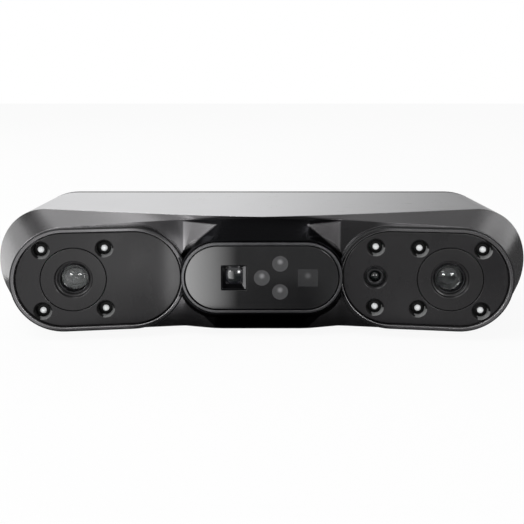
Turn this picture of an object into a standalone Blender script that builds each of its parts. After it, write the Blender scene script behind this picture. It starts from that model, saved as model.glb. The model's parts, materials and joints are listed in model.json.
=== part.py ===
"""Hand-held three-d scanner: a metal sleeve with a toed-in camera pod at each end and a window between.

Frame: +X runs along the length, +Y from the lenses to the buttons, +Z up. The origin is under the middle of
the body, on the flat face that it stands on. All sizes are metres.
"""

import math

import bmesh
import bpy
from mathutils import Matrix, Vector

# Overall body
BODY_LENGTH = 0.204
BODY_HEIGHT = 0.0435
BODY_DEPTH = 0.061
SLEEVE_WALL = 0.0018
SEAT_GAP = 0.0003
CUT_OVERRUN = 0.002

# Front casing: its face, and the shoulder line where it meets the sleeve
FACE_END_INSET = 0.0144
FACE_INSET = 0.00295
FACE_MIDDLE_RISE = 0.0026
FACE_END_SETBACK = 0.0012
FACE_WAIST_SETBACK = 0.0086
FACE_MIDDLE_SETBACK = 0.0059
FACE_MIDDLE_HALF_LENGTH = 0.016
WAIST_HALF_LENGTH = 0.028
SHOULDER_SIDE_SETBACK = 0.027
SHOULDER_CORNER_SETBACK = 0.0203
SHOULDER_MIDDLE_SETBACK = 0.0064
SHOULDER_CURVE_SHARE = 1.3
LIP_SETBACK = 0.031
LIP_WALL = 0.0014
CAVITY_SETBACK = 0.012
CAVITY_END_INSET = 0.0031
CAVITY_INSET = 0.0043
CAVITY_LEDGE = 0.002
CAVITY_STEP_SETBACK = 0.0245

# Camera pods, toed in towards each other
TOE_IN = math.radians(6.1)
POD_HALF_LENGTH = 0.0304
POD_STEP = 0.0002
POD_EDGE = 0.0005
POD_ROOT = 0.0065
POD_RIM = 0.0016
PLATE_RECESS = 0.0008
PLATE_THICKNESS = 0.002
PLATE_EDGE = 0.0003
LEDGE_WIDTH = 0.002

# Stereo cameras
CAMERA_INSET = 0.0216
BEZEL_RADIUS = 0.0112
BEZEL_MOUTH_RADIUS = 0.0066
BEZEL_THROAT_RADIUS = 0.0056
LENS_RIM_RADIUS = 0.0052
LENS_RIM_RECESS = 0.0011
LENS_HEAD_RADIUS = 0.007
LENS_HEAD_LENGTH = 0.0052
LENS_THREAD_RADIUS = 0.0059
LENS_THREAD_LENGTH = 0.004
LENS_GLASS_RADIUS = 0.0045
LENS_GLASS_THICKNESS = 0.0012
LENS_GLASS_CROWN = 0.0009
LENS_GLASS_DROP = 0.0004
HOLDER_SIDE = 0.017
HOLDER_LENGTH = 0.006
SENSOR_BOARD_SIDE = 0.020
BOARD_THICKNESS = 0.0012
PAD_SIDE = 0.019
PAD_OPENING_SIDE = 0.013

# Fill lights round the cameras
LAMP_ROW_OFFSET = 0.0109
LAMP_COLUMN_OFFSET = 0.0108
LAMP_RADIUS = 0.0013
LAMP_FOOT_RADIUS = 0.0018
LAMP_FOOT_HEIGHT = 0.0007
LAMP_RECESS = 0.0004
LAMP_HOLE_MOUTH_RADIUS = 0.0028
LAMP_HOLE_RADIUS = 0.0021
LAMP_HOLE_TAPER = 0.0011

# Colour camera in the right pod
COLOUR_CAMERA_INSET = 0.0133
COLOUR_HOLE_MOUTH_RADIUS = 0.0042
COLOUR_HOLE_RADIUS = 0.0036
COLOUR_BARREL_RADIUS = 0.0031
COLOUR_BARREL_LENGTH = 0.0072
COLOUR_BARREL_RECESS = 0.0009
COLOUR_GLASS_RADIUS = 0.0019
COLOUR_GLASS_THICKNESS = 0.0007
COLOUR_GLASS_CROWN = 0.0006

# Projector window between the pods
COLLAR_LAND = 0.0007
COLLAR_SIDE_LAND = 0.00075
COLLAR_FLARE = 0.0013
COLLAR_RISE = 0.0001
COLLAR_TOP_SETBACK = 0.0054
COLLAR_BASE_SETBACK = 0.0088
RING_HALF_LENGTH = 0.0286
RING_RADIUS = 0.01285
RING_WIDTH = 0.0011
RING_SETBACK = 0.0048
RING_DEPTH = 0.002
WINDOW_RECESS = 0.0004
WINDOW_LEDGE = 0.0012
APERTURE_SIDE = 0.009
APERTURE_X = -0.0099

# Emitters behind the window
EMITTER_BLOCK_SETBACK = 0.0078
LASER_RADIUS = 0.003
LASER_LENGTH = 0.0105
LASER_SETBACK = 0.0072
LASER_MOUTH_RADIUS = 0.0021
LASER_MOUTH_DEPTH = 0.0012
LASER_COLUMN = 0.00646
LASER_ROW = 0.0051
LASER_PLACES = ((0.0, 0.0), (LASER_COLUMN, LASER_ROW), (LASER_COLUMN, -LASER_ROW))
PROJECTOR_SIDE = 0.0098
PROJECTOR_LENGTH = 0.0105
PROJECTOR_SETBACK = 0.0082
PROJECTOR_LENS_RADIUS = 0.0034
PROJECTOR_LENS_THICKNESS = 0.001
PROJECTOR_LENS_CROWN = 0.0008
PROJECTOR_POCKET_DEPTH = 0.0011
FLOOD_X = 0.0163
FLOOD_WIDTH = 0.0071
FLOOD_HEIGHT = 0.0063
FLOOD_LENGTH = 0.005
FLOOD_SETBACK = 0.0072

# Optical bench that carries the cameras and emitters
BENCH_SETBACK = 0.0205
BENCH_THICKNESS = 0.003

# Electronics
SWITCH_SPACE = 0.0055
MAIN_BOARD_THICKNESS = 0.0016
MAIN_BOARD_END_GAP = 0.0088
SINK_LIFT = 0.003
SINK_HALF_LENGTH = 0.040
SINK_HALF_HEIGHT = 0.0115
SINK_BASE = 0.002
SINK_FIN_LENGTH = 0.010
SINK_FIN_THICKNESS = 0.0012
SINK_FINS = 11
RIBBON_WIDTH = 0.010
RIBBON_THICKNESS = 0.0004
RIBBON_SAG = 0.0012

# Rear cover
COVER_THICKNESS = 0.003
COVER_EDGE = 0.001
COVER_LIP = 0.0035
COVER_LIP_WALL = 0.0013
PAD_HALF_LENGTH = 0.0235
PAD_RADIUS = 0.009
PAD_DEPTH = 0.0012
VENT_INSET = 0.026
VENT_HALF_LENGTH = 0.010
VENT_RADIUS = 0.0008
VENT_PITCH = 0.0042
VENT_ROWS = 5
COVER_SCREW_INSET = 0.014
COVER_SCREW_Z = 0.009

# Push buttons
SCAN_BUTTON_RADIUS = 0.0056
SIDE_BUTTON_RADIUS = 0.0038
SIDE_BUTTON_OFFSET = 0.0145
BUTTON_PROUD = 0.0009
BUTTON_FLANGE = 0.0009
BUTTON_FLANGE_THICKNESS = 0.0008
BUTTON_EDGE = 0.0003
BUTTON_TRAVEL = 0.0008
SWITCH_RADIUS = 0.0017

# Status light
STATUS_RADIUS = 0.0009
STATUS_HEIGHT = 0.0135

# Power and data socket
SOCKET_X = 0.040
SOCKET_HALF_WIDTH = 0.00447
SOCKET_RADIUS = 0.0016
SOCKET_WALL = 0.0003
SOCKET_DROP = 0.0004
SOCKET_FLOOR = 0.0008
SOCKET_TONGUE_HALF_WIDTH = 0.0033
SOCKET_TONGUE_THICKNESS = 0.0007
SOCKET_TONGUE_DROP = 0.0009

# Screws
SCREW_HEAD_RADIUS = 0.0021
SCREW_HEAD_HEIGHT = 0.0013
SCREW_SHANK_RADIUS = 0.001
SCREW_LENGTH = 0.009
SCREW_SOCKET_RADIUS = 0.0009
SCREW_SOCKET_DEPTH = 0.0007
SCREW_BOSS_RADIUS = 0.0032
SCREW_BOSS_LENGTH = 0.007

# Tripod socket in the underside
TRIPOD_BORE_RADIUS = 0.003
TRIPOD_OUTER_RADIUS = 0.0048
TRIPOD_FLANGE_RADIUS = 0.0062
TRIPOD_FLANGE_THICKNESS = 0.001
TRIPOD_LENGTH = 0.009
TRIPOD_BOSS_RADIUS = 0.0075
TRIPOD_BOSS_HEIGHT = 0.0085

# Worked out from the sizes above
FRONT_Y = -BODY_DEPTH / 2
BACK_Y = BODY_DEPTH / 2
MIDDLE_Z = BODY_HEIGHT / 2
BODY_HALF_LENGTH = BODY_LENGTH / 2
BODY_RADIUS = BODY_HEIGHT / 2
COVER_FRONT_Y = BACK_Y - COVER_THICKNESS
SLEEVE_BACK_Y = COVER_FRONT_Y - SEAT_GAP
INNER_RADIUS = BODY_RADIUS - SLEEVE_WALL
INNER_HALF_LENGTH = BODY_HALF_LENGTH - SLEEVE_WALL
LIP_RADIUS = INNER_RADIUS - SEAT_GAP
LIP_HALF_LENGTH = INNER_HALF_LENGTH - SEAT_GAP
FACE_HALF_LENGTH = BODY_HALF_LENGTH - FACE_END_INSET
FACE_RADIUS = BODY_RADIUS - FACE_INSET
CAVITY_HALF_LENGTH = FACE_HALF_LENGTH - CAVITY_END_INSET
CAVITY_RADIUS = FACE_RADIUS - CAVITY_INSET
POD_RADIUS = FACE_RADIUS - POD_STEP
POD_OUTER_HALF_LENGTH = FACE_HALF_LENGTH - POD_STEP
CAMERA_OFFSET = POD_HALF_LENGTH - CAMERA_INSET
COLOUR_CAMERA_OFFSET = COLOUR_CAMERA_INSET - POD_HALF_LENGTH
COLLAR_TOP_HALF_LENGTH = RING_HALF_LENGTH + COLLAR_LAND
COLLAR_TOP_RADIUS = RING_RADIUS + COLLAR_SIDE_LAND
COLLAR_HALF_LENGTH = COLLAR_TOP_HALF_LENGTH + COLLAR_FLARE
COLLAR_RADIUS = FACE_RADIUS + COLLAR_RISE
BENCH_FRONT_Y = FRONT_Y + BENCH_SETBACK
BOARD_BACK_Y = COVER_FRONT_Y - SWITCH_SPACE
BOARD_FRONT_Y = BOARD_BACK_Y - MAIN_BOARD_THICKNESS
COVER_SCREW_X = BODY_HALF_LENGTH - COVER_SCREW_INSET
VENT_MIDDLE = COVER_SCREW_X - VENT_INSET
LIP_BACK_Y = FRONT_Y + LIP_SETBACK
COVER_LIP_FRONT_Y = COVER_FRONT_Y - COVER_LIP
TRIPOD_Y = LIP_BACK_Y + SEAT_GAP + TRIPOD_BOSS_RADIUS

# Depths in a pod, measured back from its rim along its own axis
PLATE_BACK = PLATE_RECESS + PLATE_THICKNESS
POCKET_FLOOR = PLATE_BACK + SEAT_GAP
LAMP_BOARD_FRONT = PLATE_BACK + SEAT_GAP
LAMP_BOARD_BACK = LAMP_BOARD_FRONT + BOARD_THICKNESS
LENS_HEAD_FRONT = PLATE_BACK + SEAT_GAP
LENS_HEAD_BACK = LENS_HEAD_FRONT + LENS_HEAD_LENGTH
HOLDER_FRONT = LENS_HEAD_BACK + SEAT_GAP
HOLDER_BACK = HOLDER_FRONT + HOLDER_LENGTH
SENSOR_FRONT = HOLDER_BACK + SEAT_GAP
SENSOR_BACK = SENSOR_FRONT + BOARD_THICKNESS
PAD_FRONT = SENSOR_BACK + SEAT_GAP

QUARTER_STEPS = 9
ROUND_STEPS = 24
SMALL_ROUND_STEPS = 12
FLAT_SPANS = 6
VENT_STEPS = 3

FINISHES = {
    "sleeve_metal": ((0.36, 0.36, 0.37), 0.38, 0.85),
    "casing_metal": ((0.085, 0.083, 0.086), 0.42, 0.6),
    "cover_plastic": ((0.035, 0.035, 0.037), 0.55, 0.0),
    "plate_plastic": ((0.045, 0.044, 0.046), 0.45, 0.0),
    "lens_glass": ((0.10, 0.12, 0.13), 0.05, 0.0),
    "window_glass": ((0.012, 0.012, 0.013), 0.06, 0.0),
    "black_metal": ((0.02, 0.02, 0.02), 0.35, 0.7),
    "lamp_resin": ((0.85, 0.85, 0.86), 0.15, 0.0),
    "circuit_board": ((0.02, 0.11, 0.06), 0.5, 0.0),
    "bare_aluminium": ((0.62, 0.62, 0.63), 0.4, 1.0),
    "steel": ((0.45, 0.45, 0.46), 0.3, 1.0),
    "button_rubber": ((0.06, 0.06, 0.062), 0.65, 0.0),
    "ribbon_film": ((0.45, 0.22, 0.06), 0.45, 0.0),
    "light_pipe": ((0.55, 0.78, 0.62), 0.25, 0.0),
}


def clear_scene():
    """Removes what Blender starts with."""
    for existing in list(bpy.data.objects):
        bpy.data.objects.remove(existing)


def finish_of(slot):
    """The material of a slot, made once."""
    found = bpy.data.materials.get(slot)
    if found:
        return found
    colour, roughness, metallic = FINISHES[slot]
    made = bpy.data.materials.new(slot)
    made.use_nodes = True
    shader = made.node_tree.nodes["Principled BSDF"]
    shader.inputs["Base Color"].default_value = (*colour, 1.0)
    shader.inputs["Roughness"].default_value = roughness
    shader.inputs["Metallic"].default_value = metallic
    return made


def add_object(name, mesh, slot=None, place=None):
    """Puts a mesh in the scene as a named object, with its finish, at a matrix."""
    mesh.name = name
    made = bpy.data.objects.new(name, mesh)
    bpy.context.scene.collection.objects.link(made)
    if slot:
        mesh.materials.clear()
        mesh.materials.append(finish_of(slot))
    if place is not None:
        made.matrix_world = place
    return made


def smooth(made, angle=math.radians(32)):
    """Shades a round piece smooth, with its true edges kept sharp."""
    made.data.shade_smooth()
    made.data.set_sharp_from_angle(angle=angle)
    return made


def mesh_of(shape):
    """Turns a bmesh into a mesh whose faces point out."""
    bmesh.ops.recalc_face_normals(shape, faces=shape.faces[:])
    mesh = bpy.data.meshes.new("shape")
    shape.to_mesh(mesh)
    shape.free()
    return mesh


def loft(rings, strip_caps=False):
    """A closed solid through rings of equal count. strip_caps closes a bent end from top to bottom."""
    shape = bmesh.new()
    loops = [[shape.verts.new(point) for point in ring] for ring in rings]
    count = len(rings[0])
    for near, far in zip(loops, loops[1:]):
        for i in range(count):
            j = (i + 1) % count
            shape.faces.new((near[i], near[j], far[j], far[i]))
    for loop in (loops[0], loops[-1]):
        if not strip_caps:
            shape.faces.new(loop)
            continue
        for i in range(count // 2):
            corners = [loop[i], loop[i + 1], loop[(count - i - 1) % count], loop[(count - i) % count]]
            shape.faces.new(list(dict.fromkeys(corners)))
    return mesh_of(shape)


def tube(rings):
    """A closed wall through rings of equal count, whose last ring meets its first."""
    shape = bmesh.new()
    loops = [[shape.verts.new(point) for point in ring] for ring in rings]
    count = len(rings[0])
    for near, far in zip(loops, loops[1:] + loops[:1]):
        for i in range(count):
            j = (i + 1) % count
            shape.faces.new((near[i], near[j], far[j], far[i]))
    return mesh_of(shape)


def stadium(half_length, radius, steps=QUARTER_STEPS, spans=1):
    """Outline of a bar with round ends: from its left tip over the top, and back underneath."""
    straight = half_length - radius
    upper = []
    for i in range(steps + 1):
        angle = math.pi - i * math.pi / 2 / steps
        upper.append((-straight + radius * math.cos(angle), radius * math.sin(angle)))
    for i in range(1, spans):
        upper.append((-straight + 2 * straight * i / spans, radius))
    for i in range(steps + 1):
        angle = math.pi / 2 - i * math.pi / 2 / steps
        upper.append((straight + radius * math.cos(angle), radius * math.sin(angle)))
    lower = [(x, -z) for x, z in reversed(upper[1:-1])]
    return upper + lower


def circle(radius, steps=ROUND_STEPS):
    """Outline of a circle."""
    turns = [2 * math.pi * i / steps for i in range(steps)]
    return [(radius * math.cos(a), radius * math.sin(a)) for a in turns]


def rectangle(half_width, half_height):
    """Outline of a rectangle."""
    return [
        (-half_width, -half_height),
        (half_width, -half_height),
        (half_width, half_height),
        (-half_width, half_height),
    ]


def layers(outlines):
    """A solid through (outline, depth) pairs, each outline lying across +Y."""
    return loft([[(x, depth, z) for x, z in outline] for outline, depth in outlines])


def bar(half_length, radius, front, back, front_edge=0.0, back_edge=0.0, steps=QUARTER_STEPS):
    """A round-ended bar from front to back, with a chamfer on either edge."""
    full = stadium(half_length, radius, steps)
    stack = []
    if front_edge:
        stack.append((stadium(half_length - front_edge, radius - front_edge, steps), front))
    stack.append((full, front + front_edge))
    stack.append((full, back - back_edge))
    if back_edge:
        stack.append((stadium(half_length - back_edge, radius - back_edge, steps), back))
    return layers(stack)


def cylinder(radius, front, back, steps=ROUND_STEPS):
    """A cylinder along +Y."""
    return layers([(circle(radius, steps), front), (circle(radius, steps), back)])


def cone(front_radius, back_radius, front, back, steps=ROUND_STEPS):
    """A tapered cylinder along +Y."""
    return layers([(circle(front_radius, steps), front), (circle(back_radius, steps), back)])


def turned(profile, steps=ROUND_STEPS):
    """A solid turned about +Y from (radius, depth) points, whose first and last points lie on the axis."""
    shape = bmesh.new()
    first = shape.verts.new((0, profile[0][1], 0))
    last = shape.verts.new((0, profile[-1][1], 0))
    loops = []
    for radius, depth in profile[1:-1]:
        loops.append([shape.verts.new((x, depth, z)) for x, z in circle(radius, steps)])
    for i in range(steps):
        j = (i + 1) % steps
        shape.faces.new((first, loops[0][j], loops[0][i]))
        shape.faces.new((last, loops[-1][i], loops[-1][j]))
        for near, far in zip(loops, loops[1:]):
            shape.faces.new((near[i], near[j], far[j], far[i]))
    return mesh_of(shape)


def block(half_width, half_height, front, back):
    """A box across +Y, centred on the axis."""
    return layers([(rectangle(half_width, half_height), front), (rectangle(half_width, half_height), back)])


def dome(radius, foot_depth, crown, rise_steps=3):
    """Profile points of a dome whose foot lies at foot_depth and whose crown stands in front of it."""
    points = [(0, foot_depth - crown)]
    for i in range(1, rise_steps):
        angle = i * math.pi / 2 / rise_steps
        points.append((radius * math.sin(angle), foot_depth - crown * math.cos(angle)))
    points.append((radius, foot_depth))
    return points


def combine(target, meshes, operation, place=None):
    """Cuts meshes from an object, or joins them to it, one after another."""
    for mesh in meshes:
        tool = bpy.data.objects.new("tool", mesh)
        bpy.context.scene.collection.objects.link(tool)
        if place is not None:
            tool.matrix_world = place
        change = target.modifiers.new("change", "BOOLEAN")
        change.operation = operation
        change.solver = "EXACT"
        change.object = tool
        bpy.context.view_layer.update()
        graph = bpy.context.evaluated_depsgraph_get()
        result = bpy.data.meshes.new_from_object(target.evaluated_get(graph))
        target.modifiers.clear()
        result.name = target.name
        target.data = result
        bpy.data.objects.remove(tool)
    return target


def cut(target, *meshes, place=None):
    """Cuts meshes from an object."""
    return combine(target, meshes, "DIFFERENCE", place)


def join(target, *meshes, place=None):
    """Joins meshes to an object."""
    return combine(target, meshes, "UNION", place)


def at(x, z, y=0.0):
    """A place on the body, measured from its middle height."""
    return Matrix.Translation((x, y, MIDDLE_Z + z))


def front_setback(x):
    """How far the casing's bent face lies behind the foremost point, at a distance from the middle."""
    reach = abs(x)
    if reach >= WAIST_HALF_LENGTH:
        share = (FACE_HALF_LENGTH - reach) / (FACE_HALF_LENGTH - WAIST_HALF_LENGTH)
        return FACE_END_SETBACK + share * (FACE_WAIST_SETBACK - FACE_END_SETBACK)
    beyond = max(0.0, reach - FACE_MIDDLE_HALF_LENGTH)
    share = beyond / (WAIST_HALF_LENGTH - FACE_MIDDLE_HALF_LENGTH)
    return FACE_MIDDLE_SETBACK + share * (FACE_WAIST_SETBACK - FACE_MIDDLE_SETBACK)


def shoulder_setback(x, z):
    """Depth of the shoulder line, where the sleeve's straight walls end and the casing slopes to its face."""
    straight = BODY_HALF_LENGTH - BODY_RADIUS
    if abs(x) >= straight:
        side = min(1.0, (abs(x) - straight) / BODY_RADIUS)
        return SHOULDER_CORNER_SETBACK + side * (SHOULDER_SIDE_SETBACK - SHOULDER_CORNER_SETBACK)
    if z < 0:
        return SHOULDER_CORNER_SETBACK
    share = (abs(x) / straight) ** SHOULDER_CURVE_SHARE
    return SHOULDER_MIDDLE_SETBACK + share * (SHOULDER_CORNER_SETBACK - SHOULDER_MIDDLE_SETBACK)


def face_ring():
    """Front edge of the casing, which rises to the top face in the middle."""
    straight = FACE_HALF_LENGTH - FACE_RADIUS
    ring = []
    for x, z in stadium(FACE_HALF_LENGTH, FACE_RADIUS, spans=2 * FLAT_SPANS):
        if z > 0 and abs(x) < straight:
            z += FACE_MIDDLE_RISE * (1 - abs(x) / straight)
        ring.append((x, FRONT_Y + front_setback(x), MIDDLE_Z + z))
    return ring


def shoulder_ring(inset=0.0, back=0.0):
    """The shoulder line round the body, inset into its wall and moved back."""
    outer = stadium(BODY_HALF_LENGTH, BODY_RADIUS, spans=2 * FLAT_SPANS)
    inner = stadium(BODY_HALF_LENGTH - inset, BODY_RADIUS - inset, spans=2 * FLAT_SPANS)
    ring = []
    for (x, z), (inner_x, inner_z) in zip(outer, inner):
        ring.append((inner_x, FRONT_Y + shoulder_setback(x, z) + back, MIDDLE_Z + inner_z))
    return ring


def body_ring(y, inset=0.0):
    """A flat section of the body at a depth."""
    outline = stadium(BODY_HALF_LENGTH - inset, BODY_RADIUS - inset, spans=2 * FLAT_SPANS)
    return [(x, y, MIDDLE_Z + z) for x, z in outline]


def pod_frame(side):
    """Where a pod's rim lies: side is -1 for the left pod and 1 for the right."""
    middle_x = POD_OUTER_HALF_LENGTH - POD_HALF_LENGTH * math.cos(TOE_IN)
    middle_y = FRONT_Y + POD_HALF_LENGTH * math.sin(TOE_IN)
    return at(side * middle_x, 0, middle_y) @ Matrix.Rotation(-side * TOE_IN, 4, "Z")


def lamp_places(side):
    """Where a pod's lamps stand round its camera, in the pod's own frame."""
    camera_x = side * CAMERA_OFFSET
    columns = [camera_x - LAMP_COLUMN_OFFSET, camera_x + LAMP_COLUMN_OFFSET]
    if side > 0:
        columns.insert(0, COLOUR_CAMERA_OFFSET)
    return [(x, z) for x in columns for z in (LAMP_ROW_OFFSET, -LAMP_ROW_OFFSET)]


def build_front_casing():
    """The cast front: a sloping shoulder, two pods that stand forward, and a collar round the window."""
    casing = add_object(
        "front_casing",
        loft(
            [
                face_ring(),
                shoulder_ring(),
                shoulder_ring(inset=SLEEVE_WALL + SEAT_GAP),
                body_ring(LIP_BACK_Y, inset=SLEEVE_WALL + SEAT_GAP),
            ],
            strip_caps=True,
        ),
        "casing_metal",
    )
    collar_base = FRONT_Y + COLLAR_BASE_SETBACK
    collar_stack = [
        (stadium(COLLAR_TOP_HALF_LENGTH, COLLAR_TOP_RADIUS), FRONT_Y + COLLAR_TOP_SETBACK),
        (stadium(COLLAR_HALF_LENGTH, COLLAR_RADIUS), collar_base),
        (stadium(COLLAR_HALF_LENGTH, COLLAR_RADIUS - CUT_OVERRUN), collar_base + CUT_OVERRUN),
    ]
    join(casing, layers(collar_stack), place=at(0, 0))
    for side in (-1, 1):
        join(casing, bar(POD_HALF_LENGTH, POD_RADIUS, 0, POD_ROOT, POD_EDGE), place=pod_frame(side))
    hollow_back = LIP_BACK_Y + CUT_OVERRUN
    wide_inset = SLEEVE_WALL + SEAT_GAP + LIP_WALL
    seat_half = CAVITY_HALF_LENGTH + CAVITY_LEDGE
    seat_radius = CAVITY_RADIUS + CAVITY_LEDGE
    cut(
        casing,
        bar(CAVITY_HALF_LENGTH, CAVITY_RADIUS, FRONT_Y + CAVITY_SETBACK, hollow_back),
        bar(seat_half, seat_radius, BENCH_FRONT_Y - SEAT_GAP, hollow_back),
        bar(
            BODY_HALF_LENGTH - wide_inset,
            BODY_RADIUS - wide_inset,
            FRONT_Y + CAVITY_STEP_SETBACK,
            hollow_back,
        ),
        place=at(0, 0),
    )
    pocket_half = POD_HALF_LENGTH - POD_RIM
    pocket_radius = POD_RADIUS - POD_RIM
    through_half = pocket_half - LEDGE_WIDTH
    through_radius = pocket_radius - LEDGE_WIDTH
    for side in (-1, 1):
        cut(
            casing,
            bar(pocket_half, pocket_radius, -CUT_OVERRUN, POCKET_FLOOR),
            bar(through_half, through_radius, -CUT_OVERRUN, CAVITY_SETBACK + CUT_OVERRUN),
            place=pod_frame(side),
        )
    ring_floor = RING_SETBACK + RING_DEPTH + SEAT_GAP
    ledge = RING_WIDTH + WINDOW_LEDGE
    cut(
        casing,
        bar(RING_HALF_LENGTH + SEAT_GAP, RING_RADIUS + SEAT_GAP, FRONT_Y, FRONT_Y + ring_floor),
        bar(RING_HALF_LENGTH - ledge, RING_RADIUS - ledge, FRONT_Y, FRONT_Y + CAVITY_SETBACK + CUT_OVERRUN),
        place=at(0, 0),
    )
    return smooth(casing)


def build_sleeve():
    """The metal sleeve with screw bosses at its back and a boss for the tripod socket in its floor."""
    sleeve = add_object(
        "housing_sleeve",
        tube(
            [
                shoulder_ring(back=SEAT_GAP),
                body_ring(SLEEVE_BACK_Y),
                body_ring(SLEEVE_BACK_Y, inset=SLEEVE_WALL),
                shoulder_ring(inset=SLEEVE_WALL, back=SEAT_GAP),
            ]
        ),
        "sleeve_metal",
    )
    boss_back = COVER_LIP_FRONT_Y - SEAT_GAP
    boss_front = boss_back - SCREW_BOSS_LENGTH
    wall_reach = INNER_RADIUS - COVER_SCREW_Z
    for x in (-COVER_SCREW_X, COVER_SCREW_X):
        for up in (-1, 1):
            web = block(SCREW_SHANK_RADIUS, wall_reach / 2, boss_front, boss_back)
            boss = cylinder(SCREW_BOSS_RADIUS, boss_front, boss_back, SMALL_ROUND_STEPS)
            join(sleeve, web, place=at(x, up * (COVER_SCREW_Z + wall_reach / 2)))
            join(sleeve, boss, place=at(x, up * COVER_SCREW_Z))
            bore_radius = SCREW_SHANK_RADIUS + SEAT_GAP
            bore = cylinder(bore_radius, boss_front - CUT_OVERRUN, BACK_Y, SMALL_ROUND_STEPS)
            cut(sleeve, bore, place=at(x, up * COVER_SCREW_Z))
    upright = Matrix.Translation((0, TRIPOD_Y, 0)) @ Matrix.Rotation(math.pi / 2, 4, "X")
    join(sleeve, cylinder(TRIPOD_BOSS_RADIUS, SLEEVE_WALL / 2, TRIPOD_BOSS_HEIGHT), place=upright)
    seat_depth = TRIPOD_FLANGE_THICKNESS + 2 * SEAT_GAP
    cut(
        sleeve,
        cylinder(TRIPOD_FLANGE_RADIUS + SEAT_GAP, -CUT_OVERRUN, seat_depth),
        cylinder(TRIPOD_OUTER_RADIUS + SEAT_GAP, -CUT_OVERRUN, BODY_HEIGHT / 2),
        place=upright,
    )
    return smooth(sleeve)


def build_tripod_socket():
    """The threaded steel socket in the underside, with its thread drawn plain."""
    flange = circle(TRIPOD_FLANGE_RADIUS)
    outer = circle(TRIPOD_OUTER_RADIUS)
    flange_top = SEAT_GAP + TRIPOD_FLANGE_THICKNESS
    socket_top = SEAT_GAP + TRIPOD_LENGTH
    shape = layers([(flange, SEAT_GAP), (flange, flange_top), (outer, flange_top), (outer, socket_top)])
    upright = Matrix.Translation((0, TRIPOD_Y, 0)) @ Matrix.Rotation(math.pi / 2, 4, "X")
    socket = add_object("tripod_socket", shape, "steel", upright)
    cut(socket, cylinder(TRIPOD_BORE_RADIUS, -CUT_OVERRUN, TRIPOD_LENGTH + CUT_OVERRUN), place=upright)
    return smooth(socket)


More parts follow.
